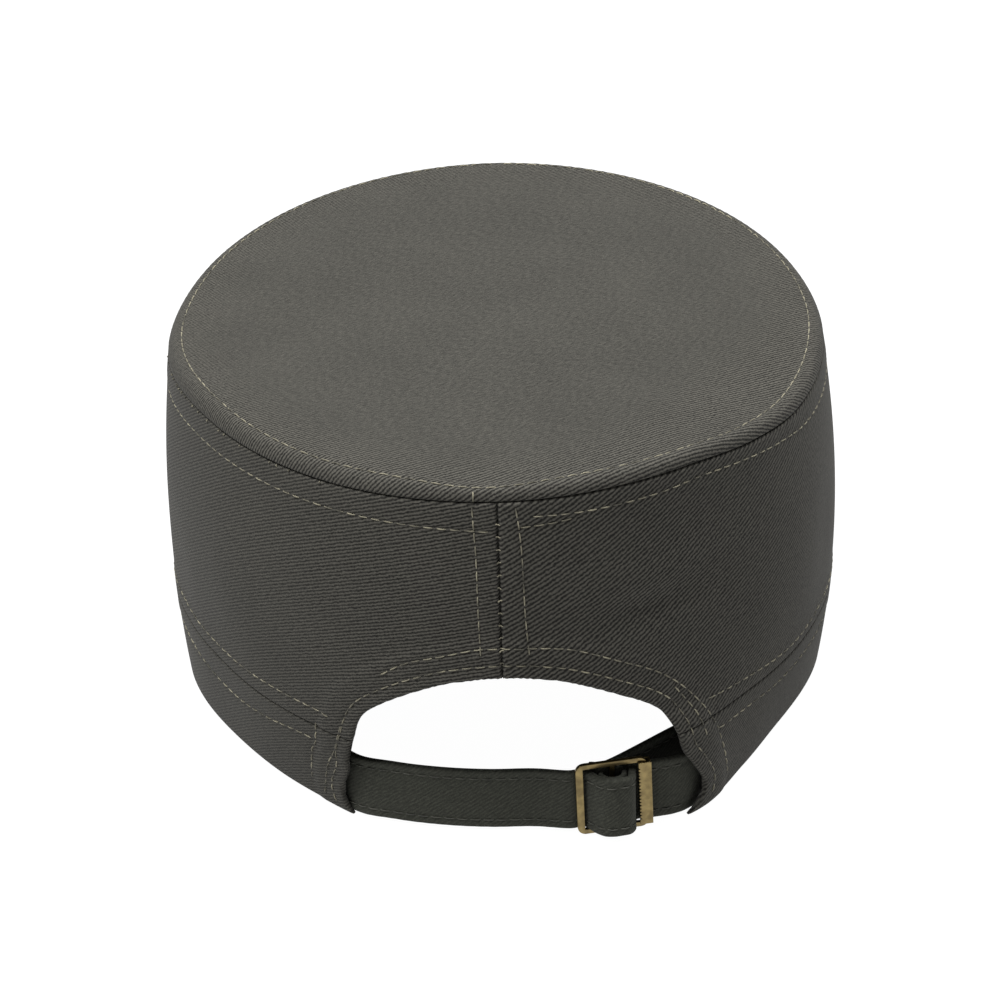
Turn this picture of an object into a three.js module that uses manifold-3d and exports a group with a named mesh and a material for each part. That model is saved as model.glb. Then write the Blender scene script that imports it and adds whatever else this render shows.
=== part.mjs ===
// A patrol cap: a soft flat-topped crown, a head band with an arched opening at the back,
// a stiff peak in front, and an adjusting strap with a brass buckle across the opening.
// Lengths are in millimetres. +Z is up, +Y points from the back of the cap to its peak and
// +X to the wearer's right. The cap stands on its hem, and its origin is on that surface,
// under the middle of the whole cap.
// An azimuth is an angle in degrees round the crown: 0 at the back seam, 90 at the wearer's
// right, 180 at the front, -90 at the wearer's left.

import * as THREE from "three";
import { mergeVertices } from "three/addons/utils/BufferGeometryUtils.js";
import Module from "manifold-3d";

// Cloth and seams
const cloth = 1.6; // two layers of twill with their seam allowance
const seamGap = 0.3; // clearance where two pieces are sewn edge to edge

// Crown: half sizes of the hem's oval and of the top seam's oval, outside
const hemHalfWidth = 86.2;
const hemHalfLength = 98.4;
const hemSquareness = 1.99; // 2 is a true ellipse
const topHalfWidth = 85.2;
const topHalfLength = 97.4;
const topSquareness = 1.93;
const crownHeight = 99.2; // from the hem to the top seam
const topSlope = 0.024; // the top seam climbs this much for each millimetre forwards
const sideBulge = 3.2; // how far the wall swells at mid height, at the sides
const endBulge = 2.3; // the same at the back and the front
const bandWidth = 26.2; // from the hem to the seam above the head band
const hemRise = 8; // the hem's lift over the middle of the peak
const hemRiseAngle = 64; // azimuth from the front where that lift ends

// Top panel
const rimRise = 4.6; // how far the rolled rim stands above the top seam
const rimInset = 4.6; // how far the roll reaches in from the seam
const topDome = 2.0; // the panel's middle above its rim

// The soft wall strays from its ovals. The largest strays are named here, and the table
// gives them as shares at each azimuth.
const hemStray = 8;
const rimStray = 1.5;
const middleStray = 2.4;
const riseStray = 3;
const softWall = [
  { azimuth: -180, hem: 0, rim: 0, middle: 0, rise: 0 },
  { azimuth: -120, hem: 0, rim: 0, middle: 0, rise: 0 },
  { azimuth: -90, hem: 0.1, rim: 0.6, middle: 0.05, rise: -0.54 },
  { azimuth: -60, hem: -0.76, rim: -0.15, middle: -0.35, rise: 0.4 },
  { azimuth: -45, hem: -0.97, rim: -0.4, middle: 0.05, rise: 0.5 },
  { azimuth: -30, hem: -0.91, rim: -0.54, middle: 0.32, rise: 0.62 },
  { azimuth: 0, hem: 0, rim: -0.37, middle: 0.2, rise: 1 },
  { azimuth: 30, hem: 0.12, rim: -0.22, middle: -1, rise: 0.67 },
  { azimuth: 45, hem: -0.5, rim: 0.45, middle: -0.2, rise: -0.15 },
  { azimuth: 60, hem: -0.65, rim: 0.9, middle: 0.53, rise: -0.8 },
  { azimuth: 90, hem: 0.07, rim: 0.68, middle: 0.3, rise: -0.55 },
  { azimuth: 120, hem: 0, rim: 0, middle: 0, rise: 0 },
  { azimuth: 180, hem: 0, rim: 0, middle: 0, rise: 0 },
];
const hemStrayFade = 1.5; // power by which the hem's stray dies away up the wall

// The wall also bulges beside the arch, where the buckle's straps pass behind it
const flapFlare = 2.2;
const flareAzimuth = 28;
const flareAngle = 9;
const flareTop = 34; // height at which the flare ends

// Arched opening at the back: its edge from the hem up to the crown of the arch, as shares
// of its height and of its reach to either side of the back seam
const archHeight = 52.6;
const archLeft = 42.2;
const archRight = 48.2;
const archEdge = [
  { up: 0, left: 0.94, right: 0.965 },
  { up: 0.05, left: 0.98, right: 1.03 },
  { up: 0.15, left: 1, right: 1.058 },
  { up: 0.28, left: 0.958, right: 1.008 },
  { up: 0.39, left: 0.953, right: 0.945 },
  { up: 0.5, left: 0.917, right: 0.912 },
  { up: 0.6, left: 0.887, right: 0.856 },
  { up: 0.67, left: 0.85, right: 0.8 },
  { up: 0.74, left: 0.78, right: 0.714 },
  { up: 0.83, left: 0.638, right: 0.564 },
  { up: 0.91, left: 0.465, right: 0.407 },
  { up: 0.967, left: 0.28, right: 0.245 },
  { up: 1, left: 0, right: 0 },
];

// Peak
const peakLength = 66; // from the hem to the tip, along the middle
const peakAngle = 62; // azimuth from the front where the peak's seam ends
const peakOverhang = 2.5; // how far its corners reach past the end of that seam
const peakSquareness = 2.25;
const peakThickness = 3; // a board between two layers of twill
const peakTipLift = 3; // the tip's underside above the surface that the cap stands on
const peakCamber = 1.6; // extra roundness between the seam and the edge

// Adjusting strap, and the shorter tab that carries the buckle
const strapWidth = 16.9;
const strapThickness = 1.8;
const strapCentreHeight = 9.3;
const strapDrop = 0.35; // how far below the middle of the buckle's window it passes
const strapInset = 19; // the strap's ends lie this far in front of the hem oval's back
const strapBow = 8.6; // how far its middle stands out behind its ends
const strapReach = 42; // from the back seam to either end of the free stretch
const strapLine = [
  { along: -0.92, bow: -0.12 },
  { along: -0.66, bow: 0.49 },
  { along: -0.38, bow: 0.88 },
  { along: -0.1, bow: 1.07 },
  { along: 0.16, bow: 1.13 },
];
const strapBulge = [
  { along: 0.05, out: 0.12 },
  { along: 0.12, out: 0.38 },
  { along: 0.21, out: 0.68 },
  { along: 0.33, out: 0.91 },
  { along: 0.48, out: 1 },
  { along: 0.63, out: 0.98 },
  { along: 0.77, out: 0.865 },
  { along: 0.855, out: 0.645 },
  { along: 0.9, out: 0.36 },
  { along: 0.94, out: 0.05 },
];
const strapEndAngle = 11; // azimuth covered by each end inside its flap
const strapBend = 1.9; // how far the strap takes to leave or meet a bar of the buckle
const strapSlack = 0.9; // between the strap and the flap's inner face at the hem
const tabWidth = 17;
const tabThickness = 1.9;
const tabLoop = 1.2; // thickness of the single layer that goes round the middle bar
const tabEndAngle = 11; // azimuth covered by its end inside the right flap
const tabLeadAngle = 2.5; // azimuth past the flap's edge where it turns towards the flap
const tabDrop = 9.4; // how far inside the flap's outer face it is there
const tabSpread = 1.3; // between the tab and the strap, before its end

// Brass buckle, in its own frame: x along the strap, y up and z outwards
const buckleX = 26.8;
const buckleY = -89.9;
const buckleZ = 10.6;
const buckleTurn = 10; // degrees, about the vertical
const buckleTilt = 1.2; // degrees, its right end up
const frameLength = 18.6;
const sideBar = 1.9;
const rail = 1.3;
const frameDepth = 1.2;
const frameCorner = 2.2;
const windowSlack = 0.6; // between the strap's edge and the rail
const middleBar = 1.2;
const barSlack = 0.45; // between a bar and the cloth that passes it
const loopSlack = 1.4; // between that loop and the strap over it
const middleBarX = 0.2;
const gripWidth = 2.8;
const gripLength = 18.5;
const gripSheet = 0.6;
const gripLap = 2.2; // width of the grip's back fold
const toothPitch = 1;
const toothDepth = 0.45;
const toothCount = 16;

// How finely the pieces are faceted
const archColumns = 12;
const ringColumns = 64;
const wallRows = 8;
const bandRows = 4;
const panelColumns = 90;
const peakColumns = 36;
const peakRows = 5;
const strapColumns = 96;
const tabColumns = 22;
const loopFacets = 20;
const cornerFacets = 4;

const twill = new THREE.MeshStandardMaterial({ color: 0x474641, roughness: 0.95, metalness: 0 });
const darkTwill = new THREE.MeshStandardMaterial({ color: 0x3b3b37, roughness: 0.95, metalness: 0 });
const brass = new THREE.MeshStandardMaterial({ color: 0x7a6a48, roughness: 0.42, metalness: 1 });

const mix = THREE.MathUtils.lerp;
const radians = THREE.MathUtils.degToRad;
const degrees = THREE.MathUtils.radToDeg;

// One column of the soft wall's table at any azimuth, smoothly joined from row to row
function strayShare(column, azimuth) {
  const at = THREE.MathUtils.euclideanModulo(azimuth + 180, 360) - 180;
  const lastRow = softWall.length - 1;
  let row = 0;
  while (row < lastRow - 1 && softWall[row + 1].azimuth <= at) {
    row += 1;
  }
  const slopeAt = (k) => {
    const before = softWall[Math.max(k - 1, 0)];
    const after = softWall[Math.min(k + 1, lastRow)];
    return (after[column] - before[column]) / (after.azimuth - before.azimuth);
  };
  const start = softWall[row];
  const end = softWall[row + 1];
  const span = end.azimuth - start.azimuth;
  const s = (at - start.azimuth) / span;
  const rise = s * s * (3 - 2 * s);
  const leave = s * (1 - s) * (1 - s) * span * slopeAt(row);
  const arrive = s * s * (s - 1) * span * slopeAt(row + 1);
  return mix(start[column], end[column], rise) + leave + arrive;
}

function ovalRadius(azimuth, halfWidth, halfLength, squareness) {
  const across = Math.abs(Math.sin(radians(azimuth)) / halfWidth) ** squareness;
  const along = Math.abs(Math.cos(radians(azimuth)) / halfLength) ** squareness;
  return (across + along) ** (-1 / squareness);
}

// Distance of the wall's outer face from the crown's axis. The level is 0 at the hem and 1 at
// the top seam.
function crownRadius(azimuth, level) {
  const belly = 4 * level * (1 - level);
  const halfWidth = mix(hemHalfWidth, topHalfWidth, level) + sideBulge * belly;
  const halfLength = mix(hemHalfLength, topHalfLength, level) + endBulge * belly;
  const squareness = mix(hemSquareness, topSquareness, level);
  const oval = ovalRadius(azimuth, halfWidth, halfLength, squareness);
  const hem = hemStray * strayShare("hem", azimuth) * (1 - level) ** hemStrayFade;
  const rim = rimStray * strayShare("rim", azimuth) * level;
  const middle = middleStray * strayShare("middle", azimuth) * belly;
  const flareUp = Math.sin(Math.PI * THREE.MathUtils.clamp((level * crownHeight) / flareTop, 0, 1));
  const flare = flapFlare * flareUp * Math.exp(-(((azimuth - flareAzimuth) / flareAngle) ** 2));
  return oval + hem + rim + middle + flare;
}

// The hem lies flat, apart from its lift over the peak
function hemHeight(azimuth) {
  const fromFront = 180 - Math.abs(THREE.MathUtils.euclideanModulo(azimuth + 180, 360) - 180);
  const share = THREE.MathUtils.clamp(fromFront / hemRiseAngle, 0, 1);
  return hemRise * Math.cos((share * Math.PI) / 2) ** 2;
}

function topHeight(azimuth) {
  const forward = -crownRadius(azimuth, 1) * Math.cos(radians(azimuth));
  return crownHeight + topSlope * forward + riseStray * strayShare("rise", azimuth);
}

function heightAt(azimuth, level) {
  return mix(hemHeight(azimuth), topHeight(azimuth), level);
}

function levelAt(azimuth, height) {
  return (height - hemHeight(azimuth)) / (topHeight(azimuth) - hemHeight(azimuth));
}

// The azimuth of the wall's point that lies this far across from the back seam
function azimuthAt(across, height) {
  let azimuth = 0;
  for (let step = 0; step < 8; step += 1) {
    azimuth = degrees(Math.asin(across / crownRadius(azimuth, levelAt(azimuth, height))));
  }
  return azimuth;
}

function aroundAxis(azimuth, radius, height) {
  return new THREE.Vector3(
    radius * Math.sin(radians(azimuth)),
    -radius * Math.cos(radians(azimuth)),
    height,
  );
}

// A point of the wall, inward from its outer face
function wallPoint(azimuth, level, inward) {
  return aroundAxis(azimuth, crownRadius(azimuth, level) - inward, heightAt(azimuth, level));
}

// A sheet of cloth: a block cut into columns and rows, each corner moved by place(u, v, w).
// u runs along the sheet, v across it and w from its back face to its front face.
function bentSheet(columns, rows, place) {
  const block = new THREE.BoxGeometry(1, 1, 1, columns, rows, 1);
  const corners = block.attributes.position;
  const corner = new THREE.Vector3();
  for (let k = 0; k < corners.count; k += 1) {
    corner.fromBufferAttribute(corners, k).addScalar(0.5);
    const moved = place(corner.x, corner.y, corner.z);
    corners.setXYZ(k, moved.x, moved.y, moved.z);
  }
  block.computeVertexNormals();
  return block;
}

// Booleans on closed geometries
const wasm = await Module();
wasm.setup();

function asSolid(geometry) {
  const bare = geometry.clone();
  bare.deleteAttribute("normal");
  bare.deleteAttribute("uv");
  const merged = mergeVertices(bare, 1e-4);
  const mesh = new wasm.Mesh({
    numProp: 3,
    vertProperties: merged.attributes.position.array,
    triVerts: new Uint32Array(merged.index.array),
  });
  return new wasm.Manifold(mesh);
}

function asGeometry(solid) {
  const mesh = solid.getMesh();
  const geometry = new THREE.BufferGeometry();
  geometry.setAttribute("position", new THREE.BufferAttribute(mesh.vertProperties, 3));
  geometry.setIndex(new THREE.BufferAttribute(mesh.triVerts, 1));
  geometry.computeVertexNormals();
  return geometry;
}

// The arch's edge as one curve from the left corner of the hem, over the top, to the right
const leftHalf = archEdge.map((row) => new THREE.Vector2(-row.left * archLeft, row.up * archHeight));
const rightHalf = archEdge.map((row) => new THREE.Vector2(row.right * archRight, row.up * archHeight));
const archCurve = new THREE.SplineCurve([...leftHalf, ...rightHalf.slice(0, -1).reverse()]);
const archTopAt = 0.5;

// The place on that curve, between two of its places, where its height is the given one
function archPlace(height, low, high) {
  let below = low;
  let above = high;
  for (let step = 0; step < 40; step += 1) {
    const middle = (below + above) / 2;
    if (archCurve.getPoint(middle).y < height) {
      below = middle;
    } else {
      above = middle;
    }
  }
  return (below + above) / 2;
}

const bandLevel = bandWidth / crownHeight;
const bandTop = bandLevel - seamGap / 2 / crownHeight;
const wallBottom = bandLevel + seamGap / 2 / crownHeight;
const flapAzimuth = { left: azimuthAt(-archLeft, 0), right: azimuthAt(archRight, 0) };

// The azimuth of a flap's edge at a level of the head band
function flapEdge(side, level) {
  const height = heightAt(flapAzimuth[side], level);
  const hemEnd = side === "left" ? 0 : 1;
  const at = archCurve.getPoint(archPlace(height, hemEnd, archTopAt));
  return azimuthAt(at.x, height);
}

// The crown wall is one strip closed into a ring, whose ends meet at the back seam. Its lower
// edge follows one half of the arch, then the seam of the head band, then the arch's other half.
function lowerEdge() {
  const edge = [];
  const seamAzimuth = degrees(seamGap / 2 / crownRadius(0, 1));
  const corner = { left: flapEdge("left", wallBottom), right: flapEdge("right", wallBottom) };
  const cornerPlace = {
    left: archPlace(heightAt(corner.left, wallBottom), 0, archTopAt),
    right: archPlace(heightAt(corner.right, wallBottom), 1, archTopAt),
  };
  for (let k = 0; k <= archColumns; k += 1) {
    const share = k / archColumns;
    const at = archCurve.getPoint(mix(archTopAt, cornerPlace.right, share));
    const azimuth = Math.max(azimuthAt(at.x, at.y), seamAzimuth);
    edge.push({ azimuth, level: levelAt(azimuth, at.y) });
  }
  for (let k = 1; k < ringColumns; k += 1) {
    edge.push({ azimuth: mix(corner.right, 360 + corner.left, k / ringColumns), level: wallBottom });
  }
  for (let k = 0; k <= archColumns; k += 1) {
    const share = k / archColumns;
    const at = archCurve.getPoint(mix(cornerPlace.left, archTopAt, share));
    const azimuth = Math.min(azimuthAt(at.x, at.y), -seamAzimuth);
    edge.push({ azimuth: 360 + azimuth, level: levelAt(azimuth, at.y) });
  }
  return edge;
}

function crownWall() {
  const edge = lowerEdge();
  const columns = edge.length - 1;
  const first = edge[0].azimuth;
  const last = edge[columns].azimuth;
  const wallTop = 1 - seamGap / 2 / crownHeight;
  return bentSheet(columns, wallRows, (u, v, w) => {
    const below = edge[Math.round(u * columns)];
    const azimuth = mix(below.azimuth, mix(first, last, u), v);
    return wallPoint(azimuth, mix(below.level, wallTop, v), cloth * (1 - w));
  });
}

function headBand() {
  const columns = ringColumns + 8;
  return bentSheet(columns, bandRows, (u, v, w) => {
    const level = v * bandTop;
    const azimuth = mix(flapEdge("right", level), 360 + flapEdge("left", level), u);
    return wallPoint(azimuth, level, cloth * (1 - w));
  });
}

// The top panel's section, from the middle of its underside round the rolled rim to the
// middle of its upper face. Each row has its share of the way out, its inset from the
// seam and its rise above it.
function panelSection() {
  const rows = [];
  const turns = [0, 0.25, 0.5, 0.75, 1];
  const flats = [1, 0.86, 0.65, 0.35, 0];
  for (const share of [...flats].reverse()) {
    rows.push({ share, inset: rimInset, rise: rimRise - cloth });
  }
  for (const turn of [0.66, 0.33, 0]) {
    rows.push({
      share: 1,
      inset: cloth + (rimInset - cloth) * (1 - Math.cos((turn * Math.PI) / 2)),
      rise: (rimRise - cloth) * Math.sin((turn * Math.PI) / 2),
    });
  }
  for (const turn of turns) {
    rows.push({
      share: 1,
      inset: rimInset * (1 - Math.cos((turn * Math.PI) / 2)),
      rise: rimRise * Math.sin((turn * Math.PI) / 2),
    });
  }
  for (const share of flats.slice(1)) {
    rows.push({ share, inset: rimInset, rise: rimRise });
  }
  return rows;
}

function topPanel() {
  const section = panelSection();
  const spine = section.map((row, k) => new THREE.Vector2(1, k));
  const lathe = new THREE.LatheGeometry(spine, panelColumns);
  const corners = lathe.attributes.position;
  for (let k = 0; k < corners.count; k += 1) {
    const row = section[Math.round(corners.getY(k))];
    const azimuth = degrees(Math.atan2(corners.getX(k), corners.getZ(k)));
    const radius = row.share * (crownRadius(azimuth, 1) - row.inset);
    const forward = -radius * Math.cos(radians(azimuth));
    const seam = crownHeight + topSlope * forward;
    const wander = riseStray * strayShare("rise", azimuth) * row.share ** 2;
    const dome = topDome * (1 - row.share ** 2);
    const height = seam + wander + dome + row.rise + seamGap / 2;
    const moved = aroundAxis(azimuth, radius, height);
    corners.setXYZ(k, moved.x, moved.y, moved.z);
  }
  lathe.computeVertexNormals();
  return lathe;
}

// The peak butts against the head band just above the hem and arches down to its corners
function peak() {
  const endAzimuth = 180 - peakAngle;
  const seamEnd = aroundAxis(endAzimuth, crownRadius(endAzimuth, 0), 0);
  const halfWidth = seamEnd.x + peakOverhang;
  const reach = hemHalfLength + peakLength - seamEnd.y;
  return bentSheet(peakColumns, peakRows, (u, v, w) => {
    const azimuth = mix(180 + peakAngle, 180 - peakAngle, u);
    const lift = peakThickness * w;
    const seamHeight = hemHeight(azimuth) + lift;
    const seamRadius = crownRadius(azimuth, levelAt(azimuth, seamHeight)) + seamGap;
    const seam = aroundAxis(azimuth, seamRadius, seamHeight);
    const sweep = (u - 0.5) * Math.PI;
    const power = 2 / peakSquareness;
    const edge = new THREE.Vector3(
      halfWidth * Math.sign(sweep) * Math.abs(Math.sin(sweep)) ** power,
      seamEnd.y + reach * Math.abs(Math.cos(sweep)) ** power,
      peakTipLift * Math.cos(sweep) ** 2 + lift,
    );
    const point = seam.lerp(edge, v);
    point.z += peakCamber * Math.sin(Math.PI * v) * Math.cos(sweep) ** 2;
    return point;
  });
}

// Buckle coordinates: x along the strap, z outwards, both in the plan view
const turn = radians(buckleTurn);
function fromBuckle(x, out) {
  return new THREE.Vector2(
    buckleX + x * Math.cos(turn) + out * Math.sin(turn),
    buckleY + x * Math.sin(turn) - out * Math.cos(turn),
  );
}

const insideHem = cloth + strapSlack; // from the hem's outer face to the strap inside it
function insideFlap(azimuth, inward) {
  const point = aroundAxis(azimuth, crownRadius(azimuth, 0) - inward, 0);
  return new THREE.Vector2(point.x, point.y);
}

const halfFrame = frameLength / 2;
const behindBar = -(frameDepth / 2 + barSlack);
const behindGrip = behindBar - seamGap - gripSheet;
const gripEdge = halfFrame - gripLap;
const loopHole = middleBar * Math.SQRT1_2 + barSlack;
const loopRadius = loopHole + tabLoop;
const overLoop = loopRadius + loopSlack + strapThickness;

// The strap's outer face in the plan view. It comes out from inside the left flap, passes
// behind the left bar, over the middle bar and behind the grip, and ends in the right flap.
function strapPlan() {
  const backLine = -(hemHalfLength - strapInset);
  const free = strapLine.map(
    (row) => new THREE.Vector2(row.along * strapReach, backLine - row.bow * strapBow),
  );
  const leftBar = -halfFrame + sideBar;
  const bulge = strapBulge.map((row) =>
    fromBuckle(mix(leftBar, gripEdge, row.along), mix(behindBar, overLoop, row.out)),
  );
  return new THREE.SplineCurve([
    insideFlap(flapAzimuth.left - strapEndAngle, insideHem),
    insideFlap(flapAzimuth.left - strapEndAngle / 2, insideHem),
    ...free,
    fromBuckle(-halfFrame - strapBend, behindBar),
    fromBuckle(leftBar, behindBar),
    ...bulge,
    fromBuckle(gripEdge, behindGrip),
    fromBuckle(halfFrame + strapBend, behindGrip),
    insideFlap(flapAzimuth.right, insideHem),
    insideFlap(flapAzimuth.right + strapEndAngle / 2, insideHem),
    insideFlap(flapAzimuth.right + strapEndAngle, insideHem),
  ]);
}

// A strip standing on edge along a plan curve, with its outer face on the curve
function standingStrip(plan, columns, thickness, width, centreAt) {
  const points = plan.getSpacedPoints(columns);
  return bentSheet(columns, 1, (u, v, w) => {
    const k = Math.round(u * columns);
    const ahead = points[Math.min(k + 1, columns)];
    const back = points[Math.max(k - 1, 0)];
    const along = ahead.clone().sub(back).normalize();
    const inward = (1 - w) * thickness;
    const x = points[k].x - along.y * inward;
    const y = points[k].y + along.x * inward;
    return new THREE.Vector3(x, y, centreAt(x) + (v - 0.5) * width);
  });
}

// The strap rises a little from its flaps to the buckle, where it follows the buckle's tilt
function strapCentre(x) {
  const toBuckle = THREE.MathUtils.smoothstep(x, -strapReach, buckleX - halfFrame);
  const tilted = buckleZ - strapDrop + (x - buckleX) * Math.tan(radians(buckleTilt));
  const beyond = THREE.MathUtils.smoothstep(x, buckleX + halfFrame, archRight);
  return mix(mix(strapCentreHeight, tilted, toBuckle), strapCentreHeight, beyond);
}

function backStrap() {
  return standingStrip(strapPlan(), strapColumns, strapThickness, strapWidth, strapCentre);
}

// The tab is a loop round the buckle's middle bar, with a tail that ends inside the right flap
function buckleTab() {
  const tabInside = insideHem + strapThickness + barSlack;
  const eyeCentre = fromBuckle(middleBarX, 0);
  const plan = new THREE.SplineCurve([
    fromBuckle(middleBarX, -(loopHole + tabLoop / 8)),
    insideFlap(flapAzimuth.right + tabLeadAngle, tabDrop),
    insideFlap(flapAzimuth.right + (tabLeadAngle + tabEndAngle) / 2, tabInside + tabSpread),
    insideFlap(flapAzimuth.right + tabEndAngle, tabInside),
  ]);
  const level = () => buckleZ;
  const tail = asSolid(standingStrip(plan, tabColumns, tabThickness, tabWidth, level));
  const upright = (radius, height) => {
    const rod = new THREE.CylinderGeometry(radius, radius, height, loopFacets).rotateX(Math.PI / 2);
    return asSolid(rod.translate(eyeCentre.x, eyeCentre.y, buckleZ));
  };
  return asGeometry(tail.add(upright(loopRadius, tabWidth)).subtract(upright(loopHole, 2 * tabWidth)));
}

// A rounded rectangle about the origin
function roundedRectangle(width, height, corner) {
  const x = width / 2;
  const y = height / 2;
  const shape = new THREE.Shape();
  shape.absarc(x - corner, -y + corner, corner, -Math.PI / 2, 0, false);
  shape.absarc(x - corner, y - corner, corner, 0, Math.PI / 2, false);
  shape.absarc(-x + corner, y - corner, corner, Math.PI / 2, Math.PI, false);
  shape.absarc(-x + corner, -y + corner, corner, Math.PI, 1.5 * Math.PI, false);
  return shape;
}

const windowHalf = strapWidth / 2 + windowSlack;
const frameHeight = 2 * (windowHalf + rail);

// A window cut right through the frame between two of its bars
function windowBetween(left, right) {
  const cutter = new THREE.BoxGeometry(right - left, 2 * windowHalf, 2 * frameDepth);
  return asSolid(cutter.translate((left + right) / 2, 0, 0));
}

function buckleFrame() {
  const outline = roundedRectangle(frameLength, frameHeight, frameCorner);
  const settings = { depth: frameDepth, bevelEnabled: false, curveSegments: cornerFacets };
  const plate = asSolid(new THREE.ExtrudeGeometry(outline, settings).translate(0, 0, -frameDepth / 2));
  const leftWindow = windowBetween(-halfFrame + sideBar, middleBarX - middleBar / 2);
  const rightWindow = windowBetween(middleBarX + middleBar / 2, halfFrame - sideBar);
  return asGeometry(plate.subtract(leftWindow).subtract(rightWindow));
}

// The grip is a sheet folded round the right bar, with teeth along its front edge
function buckleGrip() {
  const inner = frameDepth / 2 + seamGap;
  const outer = inner + gripSheet;
  const right = halfFrame + seamGap + gripSheet;
  const fold = new THREE.Shape();
  fold.moveTo(right - gripSheet - gripWidth, inner);
  fold.lineTo(right - gripSheet, inner);
  fold.lineTo(right - gripSheet, -inner);
  fold.lineTo(right - gripSheet - gripLap, -inner);
  fold.lineTo(right - gripSheet - gripLap, -outer);
  fold.lineTo(right, -outer);
  fold.lineTo(right, outer);
  fold.lineTo(right - gripSheet - gripWidth, outer);
  fold.closePath();
  const sheet = new THREE.ExtrudeGeometry(fold, { depth: gripLength, bevelEnabled: false });
  sheet.translate(0, 0, -gripLength / 2);
  sheet.rotateX(-Math.PI / 2);
  sheet.scale(1, 1, -1);
  let solid = asSolid(turnFacesRound(sheet));
  for (let k = 0; k < toothCount; k += 1) {
    const y = (k - (toothCount - 1) / 2) * toothPitch;
    const notch = new THREE.Shape();
    const edge = right - gripSheet - gripWidth;
    notch.moveTo(edge - toothDepth, y - toothPitch / 2);
    notch.lineTo(edge + toothDepth, y);
    notch.lineTo(edge - toothDepth, y + toothPitch / 2);
    notch.closePath();
    const cutter = new THREE.ExtrudeGeometry(notch, { depth: gripSheet * 2, bevelEnabled: false });
    cutter.translate(0, 0, inner - gripSheet / 2);
    solid = solid.subtract(asSolid(cutter));
  }
  return asGeometry(solid);
}

// Faces the right way again after a mirroring scale
function turnFacesRound(geometry) {
  const flat = geometry.index ? geometry.toNonIndexed() : geometry.clone();
  const corners = flat.attributes.position;
  for (let k = 0; k < corners.count; k += 3) {
    const second = new THREE.Vector3().fromBufferAttribute(corners, k + 1);
    const third = new THREE.Vector3().fromBufferAttribute(corners, k + 2);
    corners.setXYZ(k + 1, third.x, third.y, third.z);
    corners.setXYZ(k + 2, second.x, second.y, second.z);
  }
  return flat;
}

function named(name, geometry, material) {
  const mesh = new THREE.Mesh(geometry, material);
  mesh.name = name;
  return mesh;
}

const buckle = new THREE.Group();
buckle.add(named("buckle_frame", buckleFrame(), brass));
buckle.add(named("buckle_grip", buckleGrip(), brass));
buckle.rotation.set(Math.PI / 2, turn, radians(buckleTilt));
buckle.position.set(buckleX, buckleY, buckleZ);

const cap = new THREE.Group();
cap.add(named("crown_wall", crownWall(), twill));
cap.add(named("top_panel", topPanel(), twill));
cap.add(named("head_band", headBand(), twill));
cap.add(named("peak", peak(), twill));
cap.add(named("back_strap", backStrap(), darkTwill));
cap.add(named("buckle_tab", buckleTab(), darkTwill));
cap.add(buckle);

// The origin goes under the middle of the whole cap
const middle = new THREE.Box3().setFromObject(cap).getCenter(new THREE.Vector3());
cap.position.set(-middle.x, -middle.y, 0);

const part = new THREE.Group();
part.add(cap);

export default part;
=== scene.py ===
# %% [markdown]
# # A patrol cap
# A patrol cap is sewn from cotton twill: a flat top, a side wall, a head band and a stiff
# peak. At the back an arch is cut out of the wall and the band, and a short strap with a
# brass buckle crosses it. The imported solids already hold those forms. This script dresses
# them: it sews the same pieces again with a fine mesh, so that creases, turned edges and
# every stitch can be seen, and gives each its cloth, thread or brass.
# First the solids are loaded. Everything below is placed from them.

# %% Load the solids
import math

import bmesh
import bpy
import numpy as np
from mathutils import Matrix, Vector


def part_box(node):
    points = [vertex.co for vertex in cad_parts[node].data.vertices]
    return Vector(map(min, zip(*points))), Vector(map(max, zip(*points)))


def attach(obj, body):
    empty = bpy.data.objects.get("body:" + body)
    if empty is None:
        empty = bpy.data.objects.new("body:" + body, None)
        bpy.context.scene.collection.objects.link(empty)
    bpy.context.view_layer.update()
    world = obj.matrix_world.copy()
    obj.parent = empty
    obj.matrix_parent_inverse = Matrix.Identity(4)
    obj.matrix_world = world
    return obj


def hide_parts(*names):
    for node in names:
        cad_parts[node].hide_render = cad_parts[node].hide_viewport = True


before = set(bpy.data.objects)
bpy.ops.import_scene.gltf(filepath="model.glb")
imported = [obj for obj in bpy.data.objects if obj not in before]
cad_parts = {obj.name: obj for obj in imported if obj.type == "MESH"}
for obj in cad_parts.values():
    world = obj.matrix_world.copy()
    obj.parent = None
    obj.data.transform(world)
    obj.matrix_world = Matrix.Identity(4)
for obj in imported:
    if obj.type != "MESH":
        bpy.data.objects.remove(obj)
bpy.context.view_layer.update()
print("solids:", ", ".join(sorted(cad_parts)))

# %% [markdown]
# ## Sizes
# The solids were drawn from a few sizes in millimetres. The same sizes are named here, so
# that a fine mesh can follow the same wall. An azimuth is an angle round the crown: 0 at
# the back seam, 90 at the wearer's right and 180 at the front.

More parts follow.
